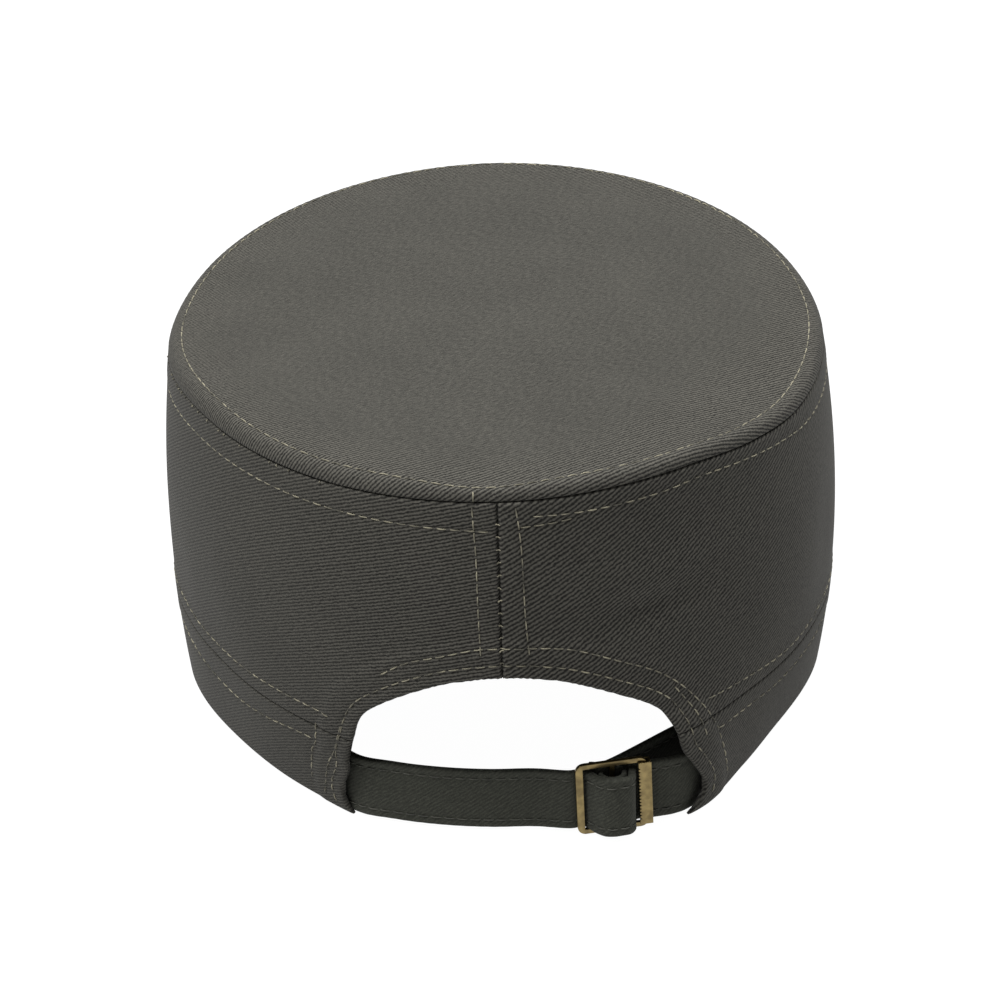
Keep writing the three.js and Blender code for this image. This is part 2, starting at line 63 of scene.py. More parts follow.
# %% Sizes of the crown
CLOTH = 1.6
SEAM_GAP = 0.3
HEM_OVAL = {"width": 86.2, "length": 98.4, "square": 1.99}
TOP_OVAL = {"width": 85.2, "length": 97.4, "square": 1.93}
CROWN_HEIGHT = 99.2
TOP_SLOPE = 0.024
SIDE_BULGE, END_BULGE = 3.2, 2.3
BAND_WIDTH = 26.2
HEM_RISE, HEM_RISE_ANGLE = 8.0, 64.0
RIM_RISE, RIM_INSET, TOP_DOME = 4.6, 4.6, 2.0
STRAY = {"hem": 8.0, "rim": 1.5, "middle": 2.4, "rise": 3.0}
STRAY_FADE = 1.5
FLARE = {"out": 2.2, "azimuth": 28.0, "angle": 9.0, "top": 34.0}
BAND_LEVEL = BAND_WIDTH / CROWN_HEIGHT
SEAM_LAP = 0.05 / CROWN_HEIGHT  # sewn edges press together, so no light comes through
print(f"crown {CROWN_HEIGHT} mm high over a hem of {2 * HEM_OVAL['width']:.0f} by {2 * HEM_OVAL['length']:.0f} mm")

# %% How the soft wall strays from its ovals, in shares of the largest strays
SOFT_WALL = np.array(
    [
        # azimuth, hem, rim, middle, rise
        (-180, 0, 0, 0, 0),
        (-120, 0, 0, 0, 0),
        (-90, 0.1, 0.6, 0.05, -0.54),
        (-60, -0.76, -0.15, -0.35, 0.4),
        (-45, -0.97, -0.4, 0.05, 0.5),
        (-30, -0.91, -0.54, 0.32, 0.62),
        (0, 0, -0.37, 0.2, 1),
        (30, 0.12, -0.22, -1, 0.67),
        (45, -0.5, 0.45, -0.2, -0.15),
        (60, -0.65, 0.9, 0.53, -0.8),
        (90, 0.07, 0.68, 0.3, -0.55),
        (120, 0, 0, 0, 0),
        (180, 0, 0, 0, 0),
    ]
)
COLUMN = {"hem": 1, "rim": 2, "middle": 3, "rise": 4}


def stray(column, azimuth):
    """A column of the table at any azimuth, in millimetres, smoothly joined from row to row."""
    at = (np.asarray(azimuth, float) + 180) % 360 - 180
    knots, values = SOFT_WALL[:, 0], SOFT_WALL[:, COLUMN[column]]
    last = len(knots) - 1
    before = np.maximum(np.arange(last + 1) - 1, 0)
    after = np.minimum(np.arange(last + 1) + 1, last)
    slopes = (values[after] - values[before]) / (knots[after] - knots[before])
    row = np.clip(np.searchsorted(knots, at, side="right") - 1, 0, last - 1)
    span = knots[row + 1] - knots[row]
    s = (at - knots[row]) / span
    rise = s * s * (3 - 2 * s)
    bend = s * (1 - s) ** 2 * slopes[row] + s * s * (s - 1) * slopes[row + 1]
    return STRAY[column] * (values[row] * (1 - rise) + values[row + 1] * rise + span * bend)


print(f"the hem is pressed in by {-stray('hem', -45.0):.1f} mm beside the left flap")


# %% The wall's outer face
def crown_radius(azimuth, level):
    """Distance from the crown's axis. The level is 0 at the hem and 1 at the top seam."""
    belly = 4 * level * (1 - level)
    width, length, square = (
        HEM_OVAL[k] + (TOP_OVAL[k] - HEM_OVAL[k]) * level for k in ("width", "length", "square")
    )
    turn = np.radians(azimuth)
    across = np.abs(np.sin(turn) / (width + SIDE_BULGE * belly)) ** square
    along = np.abs(np.cos(turn) / (length + END_BULGE * belly)) ** square
    low = np.clip(1 - level, 0, None) ** STRAY_FADE
    up = np.sin(np.pi * np.clip(level * CROWN_HEIGHT / FLARE["top"], 0, 1))
    flare = FLARE["out"] * up * np.exp(-(((azimuth - FLARE["azimuth"]) / FLARE["angle"]) ** 2))
    soft = stray("hem", azimuth) * low + stray("rim", azimuth) * level + stray("middle", azimuth) * belly
    return (across + along) ** (-1 / square) + soft + flare


def hem_height(azimuth):
    from_front = 180 - np.abs((np.asarray(azimuth, float) + 180) % 360 - 180)
    return HEM_RISE * np.cos(np.clip(from_front / HEM_RISE_ANGLE, 0, 1) * np.pi / 2) ** 2


def top_height(azimuth):
    forward = -crown_radius(azimuth, 1.0) * np.cos(np.radians(azimuth))
    return CROWN_HEIGHT + TOP_SLOPE * forward + stray("rise", azimuth)


def height_at(azimuth, level):
    return hem_height(azimuth) * (1 - level) + top_height(azimuth) * level


def level_at(azimuth, height):
    return (height - hem_height(azimuth)) / (top_height(azimuth) - hem_height(azimuth))


def around(azimuth, radius, height):
    turn = np.radians(azimuth)
    return np.stack(np.broadcast_arrays(radius * np.sin(turn), -radius * np.cos(turn), height), -1)


# %% Where the solids put the crown's axis
azimuths = np.arange(-180.0, 180.0, 0.5)
rings = np.concatenate([around(azimuths, crown_radius(azimuths, t), 0) for t in np.linspace(0.3, 1, 36)])
wall_low, wall_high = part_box("crown_wall")
AXIS_X = 500 * (wall_low.x + wall_high.x) - (rings[:, 0].min() + rings[:, 0].max()) / 2
AXIS_Y = 500 * (wall_low.y + wall_high.y) - (rings[:, 1].min() + rings[:, 1].max()) / 2
print(f"crown's axis at {AXIS_X:.2f}, {AXIS_Y:.2f} mm")

# %% [markdown]
# ## The arch
# The opening's edge is a curve through a few heights and reaches, the same as in the
# solids. It is a smooth curve through those points, so it is joined by a small function
# that the strap's path uses too.

# %% A smooth line through a few points
def smooth_line(points, steps=24):
    """A Catmull-Rom curve: it passes through every point, with steps pieces to each span."""
    p = np.array(points, float)
    first, last = 2 * p[0] - p[1], 2 * p[-1] - p[-2]
    q = np.vstack([first, p, last])
    s = np.linspace(0, 1, steps, endpoint=False)[:, None]
    spans = []
    for a, b, c, d in zip(q[:-3], q[1:-2], q[2:-1], q[3:]):
        cubic = (2 * b) + (c - a) * s + (2 * a - 5 * b + 4 * c - d) * s**2 + (3 * b - a - 3 * c + d) * s**3
        spans.append(cubic / 2)
    return np.vstack([*spans, p[-1:]])


def lengths(line):
    """How far along a line each of its points is."""
    return np.concatenate([[0], np.cumsum(np.linalg.norm(np.diff(line, axis=0), axis=1))])


def spaced(line, count):
    """The same line, as count + 1 evenly spaced points."""
    run = lengths(line)
    even = np.linspace(0, run[-1], count + 1)
    return np.stack([np.interp(even, run, line[:, k]) for k in range(line.shape[1])], -1)


print(len(smooth_line([(0, 0), (1, 1), (2, 0)])), "points make a smooth line through three")


# %% The arch's edge
ARCH_HEIGHT, ARCH_LEFT, ARCH_RIGHT = 52.6, 42.2, 48.2
ARCH_EDGE = np.array(
    [
        # up, left, right, in shares of the three sizes above
        (0, 0.94, 0.965),
        (0.05, 0.98, 1.03),
        (0.15, 1, 1.058),
        (0.28, 0.958, 1.008),
        (0.39, 0.953, 0.945),
        (0.5, 0.917, 0.912),
        (0.6, 0.887, 0.856),
        (0.67, 0.85, 0.8),
        (0.74, 0.78, 0.714),
        (0.83, 0.638, 0.564),
        (0.91, 0.465, 0.407),
        (0.967, 0.28, 0.245),
        (1, 0, 0),
    ]
)
left_half = np.stack([-ARCH_LEFT * ARCH_EDGE[:, 1], ARCH_HEIGHT * ARCH_EDGE[:, 0]], -1)
right_half = np.stack([ARCH_RIGHT * ARCH_EDGE[:, 2], ARCH_HEIGHT * ARCH_EDGE[:, 0]], -1)
arch_line = smooth_line(np.vstack([left_half, right_half[-2::-1]]))


def azimuth_of(across, height):
    """The azimuth of the wall's point this far across from the back seam."""
    azimuth = np.zeros_like(across)
    for _ in range(8):
        azimuth = np.degrees(np.arcsin(across / crown_radius(azimuth, level_at(azimuth, height))))
    return azimuth


ARCH_AZIMUTH = azimuth_of(arch_line[:, 0], arch_line[:, 1])
ARCH_UP = arch_line[:, 1]
ARCH_TOP = int(np.argmax(ARCH_UP))
FLAP_LEFT = float(azimuth_of(np.array([-ARCH_LEFT]), np.array([0.0]))[0])
FLAP_RIGHT = float(azimuth_of(np.array([ARCH_RIGHT]), np.array([0.0]))[0])
print(f"flap edges at azimuths {FLAP_LEFT:.1f} and {FLAP_RIGHT:.1f}")


def flap_edge(side, height):
    """The azimuth of the arch's edge at a height, on its left or right side."""
    if side == "left":
        return np.interp(height, ARCH_UP[: ARCH_TOP + 1], ARCH_AZIMUTH[: ARCH_TOP + 1])
    return np.interp(height, ARCH_UP[: ARCH_TOP - 1 : -1], ARCH_AZIMUTH[: ARCH_TOP - 1 : -1])


# %% [markdown]
# ## Rows of stitching
# Topstitching holds each seam flat, and it is what the eye follows on a plain cap. Each row
# is a line on the unrolled wall: its first number is the distance round from the back seam
# and its second the height, both in millimetres. The wall sinks a little under each row and
# the thread is laid in that groove, so both read the rows from here.

# %% The rows on the wall and the band
ROUND = 96.0


def arc_of(azimuth):
    return np.radians(azimuth) * ROUND


def azimuth_from(arc):
    return np.degrees(arc / ROUND)


arch_flat = np.stack([arc_of(ARCH_AZIMUTH), ARCH_UP], -1)


def beside_arch(distance, low=2.0):
    """A row that follows the arch at a distance from its edge, above a lowest height."""
    run = np.gradient(arch_flat, axis=0)
    away = np.stack([-run[:, 1], run[:, 0]], -1) / np.linalg.norm(run, axis=1)[:, None]
    row = arch_flat + away * distance
    return spaced(row[row[:, 1] > low], 160)


def level_row(stations):
    """A row through a few stations, each an azimuth and a height."""
    azimuth, height = np.array(stations, float).T
    return spaced(smooth_line(np.stack([arc_of(azimuth), height], -1)), 200)


INNER_ROW = 3.7
WALL_ROWS = {
    "top_left": level_row(
        [
            (-180, 95), (-150, 94), (-125, 92), (-90, 90), (-60, 92.6), (-30, 92.8), (-14, 92.8),
            (0.5, 92.4)
        ]
    ),
    "top_right": level_row(
        [
            (5, 95.8), (12, 95.3), (25, 95), (33, 95.2), (42, 94), (53, 92), (66, 90), (90, 90.5),
            (125, 93), (150, 94), (180, 95)
        ]
    ),
    "top_start": level_row([(3.1, 93.2), (7, 93.4), (12, 94.1)]),
    "seam_left": level_row([(-3.6, 98.9), (-3.4, 92), (-3.2, 85), (-3.1, 69), (-2.9, 57.5)]),
    "seam_right": level_row([(2.6, 98.6), (3.0, 93), (3.3, 85), (3.5, 69), (4.0, 56.0)]),
    "arch_inner": beside_arch(INNER_ROW),
    "arch_outer": level_row(
        [
            (-18.2, 49.8), (-14, 54.7), (-8.8, 58), (-3, 60.8), (2.6, 60.7), (9.8, 58.6), (17.5, 52.1),
            (24.4, 44.9), (30.1, 35.4), (34.9, 22.9), (38.3, 6.8), (39.3, 2.2)
        ]
    ),
    "flap_right": level_row([(26.8, 39.6), (30.7, 29.7), (32.6, 20.5)]),
    "flap_left": level_row([(-25.2, 33), (-26.6, 28.2), (-28.3, 20.6), (-30.5, 13.9), (-32.6, 2.8)]),
    "flap_left_outer": level_row([(-31.6, 27.5), (-32.4, 20.9), (-33.9, 16.5), (-35.6, 5)]),
    "band_upper_left": level_row(
        [
            (-180, 37.5), (-150, 35), (-125, 32), (-90, 30.6), (-60, 31), (-42, 31.7), (-32, 31.8),
            (-27.5, 31.3)
        ]
    ),
    "band_lower_left": level_row(
        [
            (-180, 26), (-150, 23), (-125, 20), (-90, 19), (-60, 17), (-47, 18.5), (-38, 20.8),
            (-31.5, 21.2)
        ]
    ),
    "band_upper_right": level_row(
        [
            (33.5, 31.5), (40, 30.8), (47, 29.8), (61, 28.4), (90, 30), (125, 32), (150, 35),
            (180, 37.5)
        ]
    ),
    "band_lower_right": level_row(
        [
            (35.5, 21.5), (44, 20.6), (60, 19), (90, 19), (125, 20), (150, 23), (180, 26)
        ]
    ),
}
print(len(WALL_ROWS), "rows of stitching on the wall")

# %% [markdown]
# ## Relief
# Sewn cloth is never smooth. It stands proud where a seam allowance lies behind it, sinks
# under a row of stitches and puckers between them. All of that is a height over the plain
# wall. A bump map could fake it, but here the mesh itself is moved, because the edges and
# the outline show it.

# %% Distances on the unrolled wall
STITCH_PITCH = 3.4


def beside(line, arc, height, reach):
    """Distance to a line, and how far along it, for points within reach. Others get a far distance."""
    gap = np.full(arc.shape, 99.0)
    run = np.zeros(arc.shape)
    low, high = line.min(0) - reach, line.max(0) + reach
    near = (arc > low[0]) & (arc < high[0]) & (height > low[1]) & (height < high[1])
    points = np.stack([arc[near], height[near]], -1)
    along = lengths(line)
    found, where = [], []
    for part in np.array_split(points, max(1, len(points) // 4000)):
        apart = np.linalg.norm(part[:, None] - line[None], axis=-1)
        k = apart.argmin(1)
        found.append(apart[np.arange(len(part)), k])
        where.append(along[k])
    gap[near] = np.concatenate(found)
    run[near] = np.concatenate(where)
    return gap, run


def bell(distance, width):
    return np.exp(-((distance / width) ** 2))


def shelf(distance, reach, soft):
    """1 within reach, falling softly to 0 beyond it."""
    return 1 / (1 + np.exp(np.clip((distance - reach) / soft, -40, 40)))


def rounding(distance, radius):
    """How far a turned edge drops back, a quarter circle over the last radius."""
    d = np.clip(distance, 0, radius)
    return radius - np.sqrt(np.maximum(radius**2 - (radius - d) ** 2, 0))


# %% The relief itself
STITCH_SINK, PUCKER = 0.26, 0.1
ARCH_FACING = 10.2
SOFT_FOLDS = np.array(
    [
        # azimuth, height, outward, half width round the wall, half height
        (23, 64.5, -1.5, 19, 5.5),
        (24, 73, 0.5, 19, 6),
        (-22, 60, -0.5, 16, 10),
        (-55, 55, 0.7, 16, 26),
        (48, 60, 0.6, 14, 24),
        (-78, 40, -0.8, 14, 22),
        (72, 50, -0.6, 13, 22),
        (-38, 84, -0.4, 22, 7),
        (34, 82, -0.4, 20, 7),
    ]
)


def wall_relief(azimuth, height):
    arc = arc_of((azimuth + 180) % 360 - 180)
    out = np.zeros(arc.shape)
    for at, up, depth, wide, tall in SOFT_FOLDS:
        out += depth * np.exp(-(((arc - arc_of(at)) / wide) ** 2) - ((height - up) / tall) ** 2)
    below_top = top_height(azimuth) - height
    seam_gap = np.abs(arc)
    band_gap = np.abs(height - height_at(azimuth, BAND_LEVEL))
    arch_gap, arch_run = beside(arch_flat, arc, height, 16)
    out += 0.3 * shelf(seam_gap, 6.0, 0.35) * (height > ARCH_HEIGHT)
    out -= 0.8 * bell(seam_gap, 0.35) * (0.7 + 0.3 * np.cos(2 * np.pi * height / STITCH_PITCH))
    out += 0.25 * shelf(below_top, 6.5, 0.5) + 0.25 * shelf(band_gap, 6.0, 0.4)
    out += 0.45 * shelf(arch_gap, ARCH_FACING, 0.4)
    for line in WALL_ROWS.values():
        gap, run = beside(line, arc, height, 9)
        beat = np.cos(2 * np.pi * run / STITCH_PITCH)
        out -= STITCH_SINK * bell(gap, 0.7) * (1 + 0.5 * beat)
        out += PUCKER * beat * np.exp(-gap / 2.2)
    return out


fold = wall_relief(np.array([SOFT_FOLDS[0, 0]]), np.array([SOFT_FOLDS[0, 1]]))[0]
print(f"the deepest fold on the right lies {-fold:.1f} mm in")


# %% [markdown]
# ## Building a piece of cloth
# A cut piece of cloth has two faces and turned edges. Blender's Solidify could thicken a
# sheet, but the edges would be square. Instead each piece is a row of closed loops, each
# going up the outer face, over the edge and down the inner face, and the loops are joined
# into one skin. The skin keeps a UV map in real millimetres, measured along the twill's
# ridges and across them, which the cloth's material reads.

# %% Join loops of points into a mesh
MM = 0.001


def to_frame(points):
    return (np.asarray(points, float) + [AXIS_X, AXIS_Y, 0]) * MM


def skin(name, loops, cloth, strength=1.0):
    """A mesh over an array of loops: columns, points to a loop, xyz in millimetres."""
    columns, points = loops.shape[:2]
    corner = np.arange(columns * points).reshape(columns, points)
    quads = np.stack([corner[:-1, :-1], corner[1:, :-1], corner[1:, 1:], corner[:-1, 1:]], -1).reshape(-1, 4)
    mesh = bpy.data.meshes.new(name)
    mesh.from_pydata(to_frame(loops.reshape(-1, 3)).tolist(), [], quads.tolist())
    layer = mesh.uv_layers.new(name="cloth_mm")
    layer.data.foreach_set("uv", cloth.reshape(-1, 2)[quads.ravel()].astype(np.float32).ravel())
    wales = mesh.attributes.new("wale_strength_and_painted_shade", "FLOAT", "POINT")
    wales.data.foreach_set("value", np.broadcast_to(strength, loops.shape[:2]).astype(np.float32).ravel())
    mesh.shade_smooth()
    work = bmesh.new()
    work.from_mesh(mesh)
    bmesh.ops.remove_doubles(work, verts=work.verts, dist=1e-6)
    bmesh.ops.holes_fill(work, edges=[e for e in work.edges if e.is_boundary], sides=0)
    work.to_mesh(mesh)
    work.free()
    return mesh


def piece(name, mesh, material, replaces=None):
    """Adds a piece of the cap, which rides on the cap's one body."""
    thing = bpy.data.objects.new(name, mesh)
    bpy.context.scene.collection.objects.link(thing)
    mesh.materials.clear()
    mesh.materials.append(material)
    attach(thing, "root")
    if replaces:
        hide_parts(replaces)
    print(f"{name}: {len(mesh.polygons)} faces")
    return thing


# %% [markdown]
# ## Materials
# The cloth is a cotton twill, dyed a dark olive grey and brushed by wear. In a twill each
# crossing steps one thread sideways, which draws fine slanting ridges, the wales, about
# 0.9 mm apart here. The thread is spun cotton in a lighter khaki. The buckle is brass that
# was darkened to look old, in mottled patches.

# %% Colours and nodes
def linear(code):
    """An sRGB hex colour as linear RGBA."""
    levels = [int(code[k : k + 2], 16) / 255 for k in (1, 3, 5)]
    return [v / 12.92 if v <= 0.04045 else ((v + 0.055) / 1.055) ** 2.4 for v in levels] + [1.0]


def add_node(tree, kind, inputs=None, **settings):
    """Adds a node with its settings, its numbers and its links."""
    made = tree.nodes.new(kind)
    for key, value in settings.items():
        setattr(made, key, value)
    for key, value in (inputs or {}).items():
        if isinstance(value, bpy.types.NodeSocket):
            tree.links.new(value, made.inputs[key])
        else:
            made.inputs[key].default_value = value
    return made


def blend(tree, share, first, second):
    """A mix of two grey patterns: share is how much of the second one shows."""
    return add_node(tree, "ShaderNodeMix", {"Factor": share, "A": first, "B": second}, data_type="FLOAT").outputs[0]


def new_material(name):
    material = bpy.data.materials.new(name)
    material.use_nodes = True
    shader = material.node_tree.nodes["Principled BSDF"]
    return material, material.node_tree, shader


# %% Cotton twill
# The ridges have the photograph's own pitch. The yarns inside a ridge are finer than a pixel
# of the picture, so the short beads along it are drawn coarser than the real weave.
WALE = 0.92  # millimetres from one ridge to the next
BEAD = 1.1  # millimetres from one bead to the next
WAVE_PERIOD = 0.314  # a wave texture of scale 1 repeats after this many units


def cotton_twill(name, dark, mid, pale):
    """Brushed cotton: rough all over, with wales that fade where the nap hides them. On the top's rim the wales are
    made stronger and darker as painted shade.
    """
    material, tree, shader = new_material(name)
    cloth = add_node(tree, "ShaderNodeUVMap", uv_map="cloth_mm").outputs["UV"]
    strength = add_node(tree, "ShaderNodeAttribute", attribute_name="wale_strength_and_painted_shade").outputs["Fac"]
    wales = add_node(
        tree,
        "ShaderNodeTexWave",
        {"Vector": cloth, "Scale": WAVE_PERIOD / WALE, "Distortion": 2.6, "Detail": 2.0, "Detail Scale": 2.5},
        bands_direction="Y",
    )
    beads = add_node(
        tree,
        "ShaderNodeTexWave",
        {"Vector": cloth, "Scale": WAVE_PERIOD / BEAD, "Distortion": 6.0, "Detail": 2.0, "Detail Scale": 2.0},
        bands_direction="X",
    )
    woven = blend(tree, 0.16, wales.outputs["Fac"], beads.outputs["Fac"])
    slant = {"Vector": cloth, "Rotation": (0, 0, 0.6), "Scale": (0.35, 1.6, 1.0)}
    yarn_way = add_node(tree, "ShaderNodeMapping", slant)
    yarn = add_node(tree, "ShaderNodeTexNoise", {"Vector": yarn_way.outputs["Vector"], "Scale": 1.5, "Detail": 4.0})
    fibres = add_node(tree, "ShaderNodeTexNoise", {"Vector": cloth, "Scale": 2.6, "Detail": 2.0})
    nap = blend(tree, 0.45, yarn.outputs["Fac"], fibres.outputs["Fac"])
    worn = add_node(tree, "ShaderNodeTexNoise", {"Vector": cloth, "Scale": 0.035, "Detail": 3.0})
    share = add_node(tree, "ShaderNodeMath", {0: strength, 1: 0.52}, operation="MULTIPLY").outputs[0]
    threads = blend(tree, share, nap, woven)
    tone = blend(tree, 0.08, threads, worn.outputs["Fac"])
    ramp = add_node(tree, "ShaderNodeValToRGB", {"Fac": tone})
    ramp.color_ramp.elements[0].position = 0.3
    ramp.color_ramp.elements[0].color = linear(dark)
    ramp.color_ramp.elements[1].position = 0.72
    ramp.color_ramp.elements[1].color = linear(pale)
    ramp.color_ramp.elements.new(0.5).color = linear(mid)
    relief = add_node(tree, "ShaderNodeBump", {"Strength": 0.4, "Distance": 0.0002, "Height": threads})
    tree.links.new(ramp.outputs["Color"], shader.inputs["Base Color"])
    tree.links.new(relief.outputs["Normal"], shader.inputs["Normal"])
    shader.inputs["Roughness"].default_value = 0.92
    shader.inputs["Specular IOR Level"].default_value = 0.15
    shader.inputs["Sheen Weight"].default_value = 0.03
    shader.inputs["Sheen Roughness"].default_value = 0.5
    return material


olive_twill = cotton_twill("cotton_twill_olive_grey", "#171614", "#383733", "#514f49")
strap_twill = cotton_twill("cotton_twill_olive_grey_strap", "#22231f", "#34352f", "#484941")

# %% Sewing thread
def sewing_thread(name, dark, pale):
    """Spun cotton thread: matt, a little lighter than the cloth, with a mottled dye."""
    material, tree, shader = new_material(name)
    place = add_node(tree, "ShaderNodeTexCoord").outputs["Object"]
    dye = add_node(tree, "ShaderNodeTexNoise", {"Vector": place, "Scale": 260.0, "Detail": 2.0})
    ramp = add_node(tree, "ShaderNodeValToRGB", {"Fac": dye.outputs["Fac"]})
    ramp.color_ramp.elements[0].position = 0.35
    ramp.color_ramp.elements[0].color = linear(dark)
    ramp.color_ramp.elements[1].position = 0.65
    ramp.color_ramp.elements[1].color = linear(pale)
    tree.links.new(ramp.outputs["Color"], shader.inputs["Base Color"])
    shader.inputs["Roughness"].default_value = 0.8
    return material


khaki_thread = sewing_thread("cotton_sewing_thread_khaki", "#3d3b32", "#86816e")
olive_thread = sewing_thread("cotton_sewing_thread_olive", "#34352f", "#4b4b43")

# %% Antique brass
def antique_brass():
    """Brass with a mottled brown patina: soft, warm highlights."""
    material, tree, shader = new_material("antique_brass")
    place = add_node(tree, "ShaderNodeTexCoord").outputs["Object"]
    patina = add_node(tree, "ShaderNodeTexNoise", {"Vector": place, "Scale": 420.0, "Detail": 4.0})
    ramp = add_node(tree, "ShaderNodeValToRGB", {"Fac": patina.outputs["Fac"]})
    ramp.color_ramp.elements[0].position = 0.36
    ramp.color_ramp.elements[0].color = linear("#6c5f43")
    ramp.color_ramp.elements[1].position = 0.66
    ramp.color_ramp.elements[1].color = linear("#8d7d56")
    tree.links.new(ramp.outputs["Color"], shader.inputs["Base Color"])
    shader.inputs["Metallic"].default_value = 1.0
    shader.inputs["Roughness"].default_value = 0.32
    return material


brass = antique_brass()
print("materials:", ", ".join(m.name for m in bpy.data.materials if m.users))

# %% [markdown]
# ## Side wall
# The wall is one strip of twill whose ends meet at the back seam. Its lower edge follows
# the arch, then the band's seam round the front. Columns start on that edge and fan out to
# even spacing at the top, so that the arch's edge stays smooth.

# %% The wall's columns
def edge_rows(length, count, close=(0, 0.06, 0.2, 0.45, 0.8)):
    """Shares from 0 to 1 with extra rows at both ends, for the turned edges."""
    start = np.array(close) / length
    middle = np.linspace(start[-1], 1 - start[-1], count + 2)[1:-1]
    return np.concatenate([start, middle, 1 - start[::-1]])


def foot_points(chosen, top):
    """Points of the arch's edge from its top downwards, closer together beside the back seam."""
    line = np.stack([ARCH_AZIMUTH[chosen], ARCH_UP[chosen]], -1)
    if abs(line[-1, 0]) < abs(line[0, 0]):
        line = line[::-1]
    line[0] = (0, ARCH_UP[top])
    run = lengths(line * [math.radians(ROUND), 1])
    stations = np.concatenate([[0, 0.1, 0.25, 0.5], np.linspace(0.8, 8, 20), np.linspace(8, run[-1], 56)[1:]])
    return np.stack([np.interp(stations, run, line[:, k]) for k in range(2)], -1)


def wall_columns():
    """The azimuth and level of each column's foot."""
    left_foot = flap_edge("left", height_at(FLAP_LEFT, BAND_LEVEL))
    right_foot = flap_edge("right", height_at(FLAP_RIGHT, BAND_LEVEL))
    right = (np.arange(len(ARCH_UP)) >= ARCH_TOP) & (ARCH_UP > BAND_WIDTH)
    left = (np.arange(len(ARCH_UP)) <= ARCH_TOP) & (ARCH_UP > BAND_WIDTH)
    arch_right = foot_points(right, ARCH_TOP)
    arch_left = foot_points(left, ARCH_TOP)[::-1]
    back = np.linspace(right_foot, 112, 132)[1:]
    front = np.linspace(112, 248, 90)[1:-1]
    other = np.linspace(248, 360 + left_foot, 132)[:-1]
    seam = np.concatenate([back, front, other])
    azimuth = np.concatenate([arch_right[:, 0], seam, 360 + arch_left[:, 0]])
    level = np.concatenate(
        [
            level_at(arch_right[:, 0], arch_right[:, 1]),
            np.full(len(seam), BAND_LEVEL - SEAM_LAP),
            level_at(arch_left[:, 0], arch_left[:, 1]),
        ]
    )
    return azimuth, level


def wale_map(azimuth, height):
    """The cloth's own millimetres: along the wales, and across them."""
    arc = arc_of((azimuth + 180) % 360 - 180)
    to_left = np.clip(arc, -90, 0)
    left = 0.22 * to_left - 0.0018 * to_left**2 + 0.54 * np.minimum(arc + 90, 0)
    rise = np.where(arc > 0, math.tan(math.radians(30)) * arc, left)
    lean = np.where(arc > 0, math.tan(math.radians(30)), 0.3)
    pulled = np.where(arc > 0, 0.84, 1.0)  # the right half is stretched, which spreads its ridges
    across = pulled * (height - rise) / np.sqrt(1 + lean**2)
    along = (arc + lean * height) / np.sqrt(1 + lean**2)
    return np.stack([along, across], -1)


# %% Sew the wall
def cloth_loops(azimuth, level, edge_gap, edge_radius):
    """Loops over a grid of wall points: up the outer face and down the inner one."""
    height = height_at(azimuth, level)
    drop = rounding(edge_gap, edge_radius)
    relief = wall_relief(azimuth, height)
    outer = around(azimuth, crown_radius(azimuth, level) + relief - drop, height)
    inner_depth = np.maximum(2 * edge_radius - drop, edge_radius)
    inner = around(azimuth, crown_radius(azimuth, level) - np.maximum(inner_depth, CLOTH * 0.5), height)
    loops = np.concatenate([outer, inner[:, ::-1], outer[:, :1]], 1)
    uv = wale_map(azimuth, height)
    return loops, np.concatenate([uv, uv[:, ::-1], uv[:, :1]], 1)


SIDE_COLUMN = 78
foot_azimuth, foot_level = wall_columns()
rows = edge_rows(60, 74)


def brushed(azimuth):
    """The wales stand out at the back, and are brushed smoother towards the sides."""
    return 0.5 + 0.5 * bell((azimuth + 180) % 360 - 190, 52)


def twice(values):
    """Values for the outer face, the inner face and the point that closes each loop."""
    return np.concatenate([values, values[:, ::-1], values[:, :1]], 1)


foot_run = lengths(np.stack([foot_azimuth * math.radians(ROUND), foot_level * CROWN_HEIGHT], -1))
side_run = foot_run[SIDE_COLUMN]
back_run = foot_run[-1] - foot_run[-1 - SIDE_COLUMN]
front_run = np.interp([112, 248], foot_azimuth, foot_run)
known_runs = [0, side_run, *front_run, foot_run[-1] - back_run, foot_run[-1]]
head_azimuth = np.interp(foot_run, known_runs, [0, 40, 112, 248, 320, 360])
grid_azimuth = foot_azimuth[:, None] * (1 - rows) + head_azimuth[:, None] * rows
grid_level = foot_level[:, None] * (1 - rows) + (1 + SEAM_LAP) * rows
grid_height = height_at(grid_azimuth, grid_level)
flat_arc = arc_of((grid_azimuth + 180) % 360 - 180)
arch_gap = beside(arch_flat, flat_arc, grid_height, 6)[0]
low_gap = np.minimum(np.abs(grid_height - height_at(grid_azimuth, BAND_LEVEL - SEAM_LAP)), arch_gap)
top_gap = height_at(grid_azimuth, 1 + SEAM_LAP) - grid_height
side_gap = np.abs(flat_arc)
wall_gap = np.minimum(np.minimum(low_gap, top_gap), side_gap)
wall_loops, wall_cloth = cloth_loops(grid_azimuth, grid_level, wall_gap, CLOTH / 2)
wall_mesh = skin("crown_wall_cloth", wall_loops, wall_cloth, twice(brushed(grid_azimuth)))
piece("crown_wall_cloth", wall_mesh, olive_twill, "crown_wall")

# %% [markdown]
# ## Head band
# The band hides the wall's raw edge and ends in the two flaps beside the arch. It is built
# like the wall, with its columns running from one flap's edge to the other's.

# %% Sew the band
def band_grid(columns=330, count=30):
    rows = edge_rows(26, count)
    level = rows[None] * (BAND_LEVEL + SEAM_LAP)
    height = height_at(180.0, level)
    share = edge_rows(500, columns)[:, None]
    first = flap_edge("right", height_at(FLAP_RIGHT, level))
    last = 360 + flap_edge("left", height_at(FLAP_LEFT, level))
    return first * (1 - share) + last * share, np.repeat(level, len(share), 0)


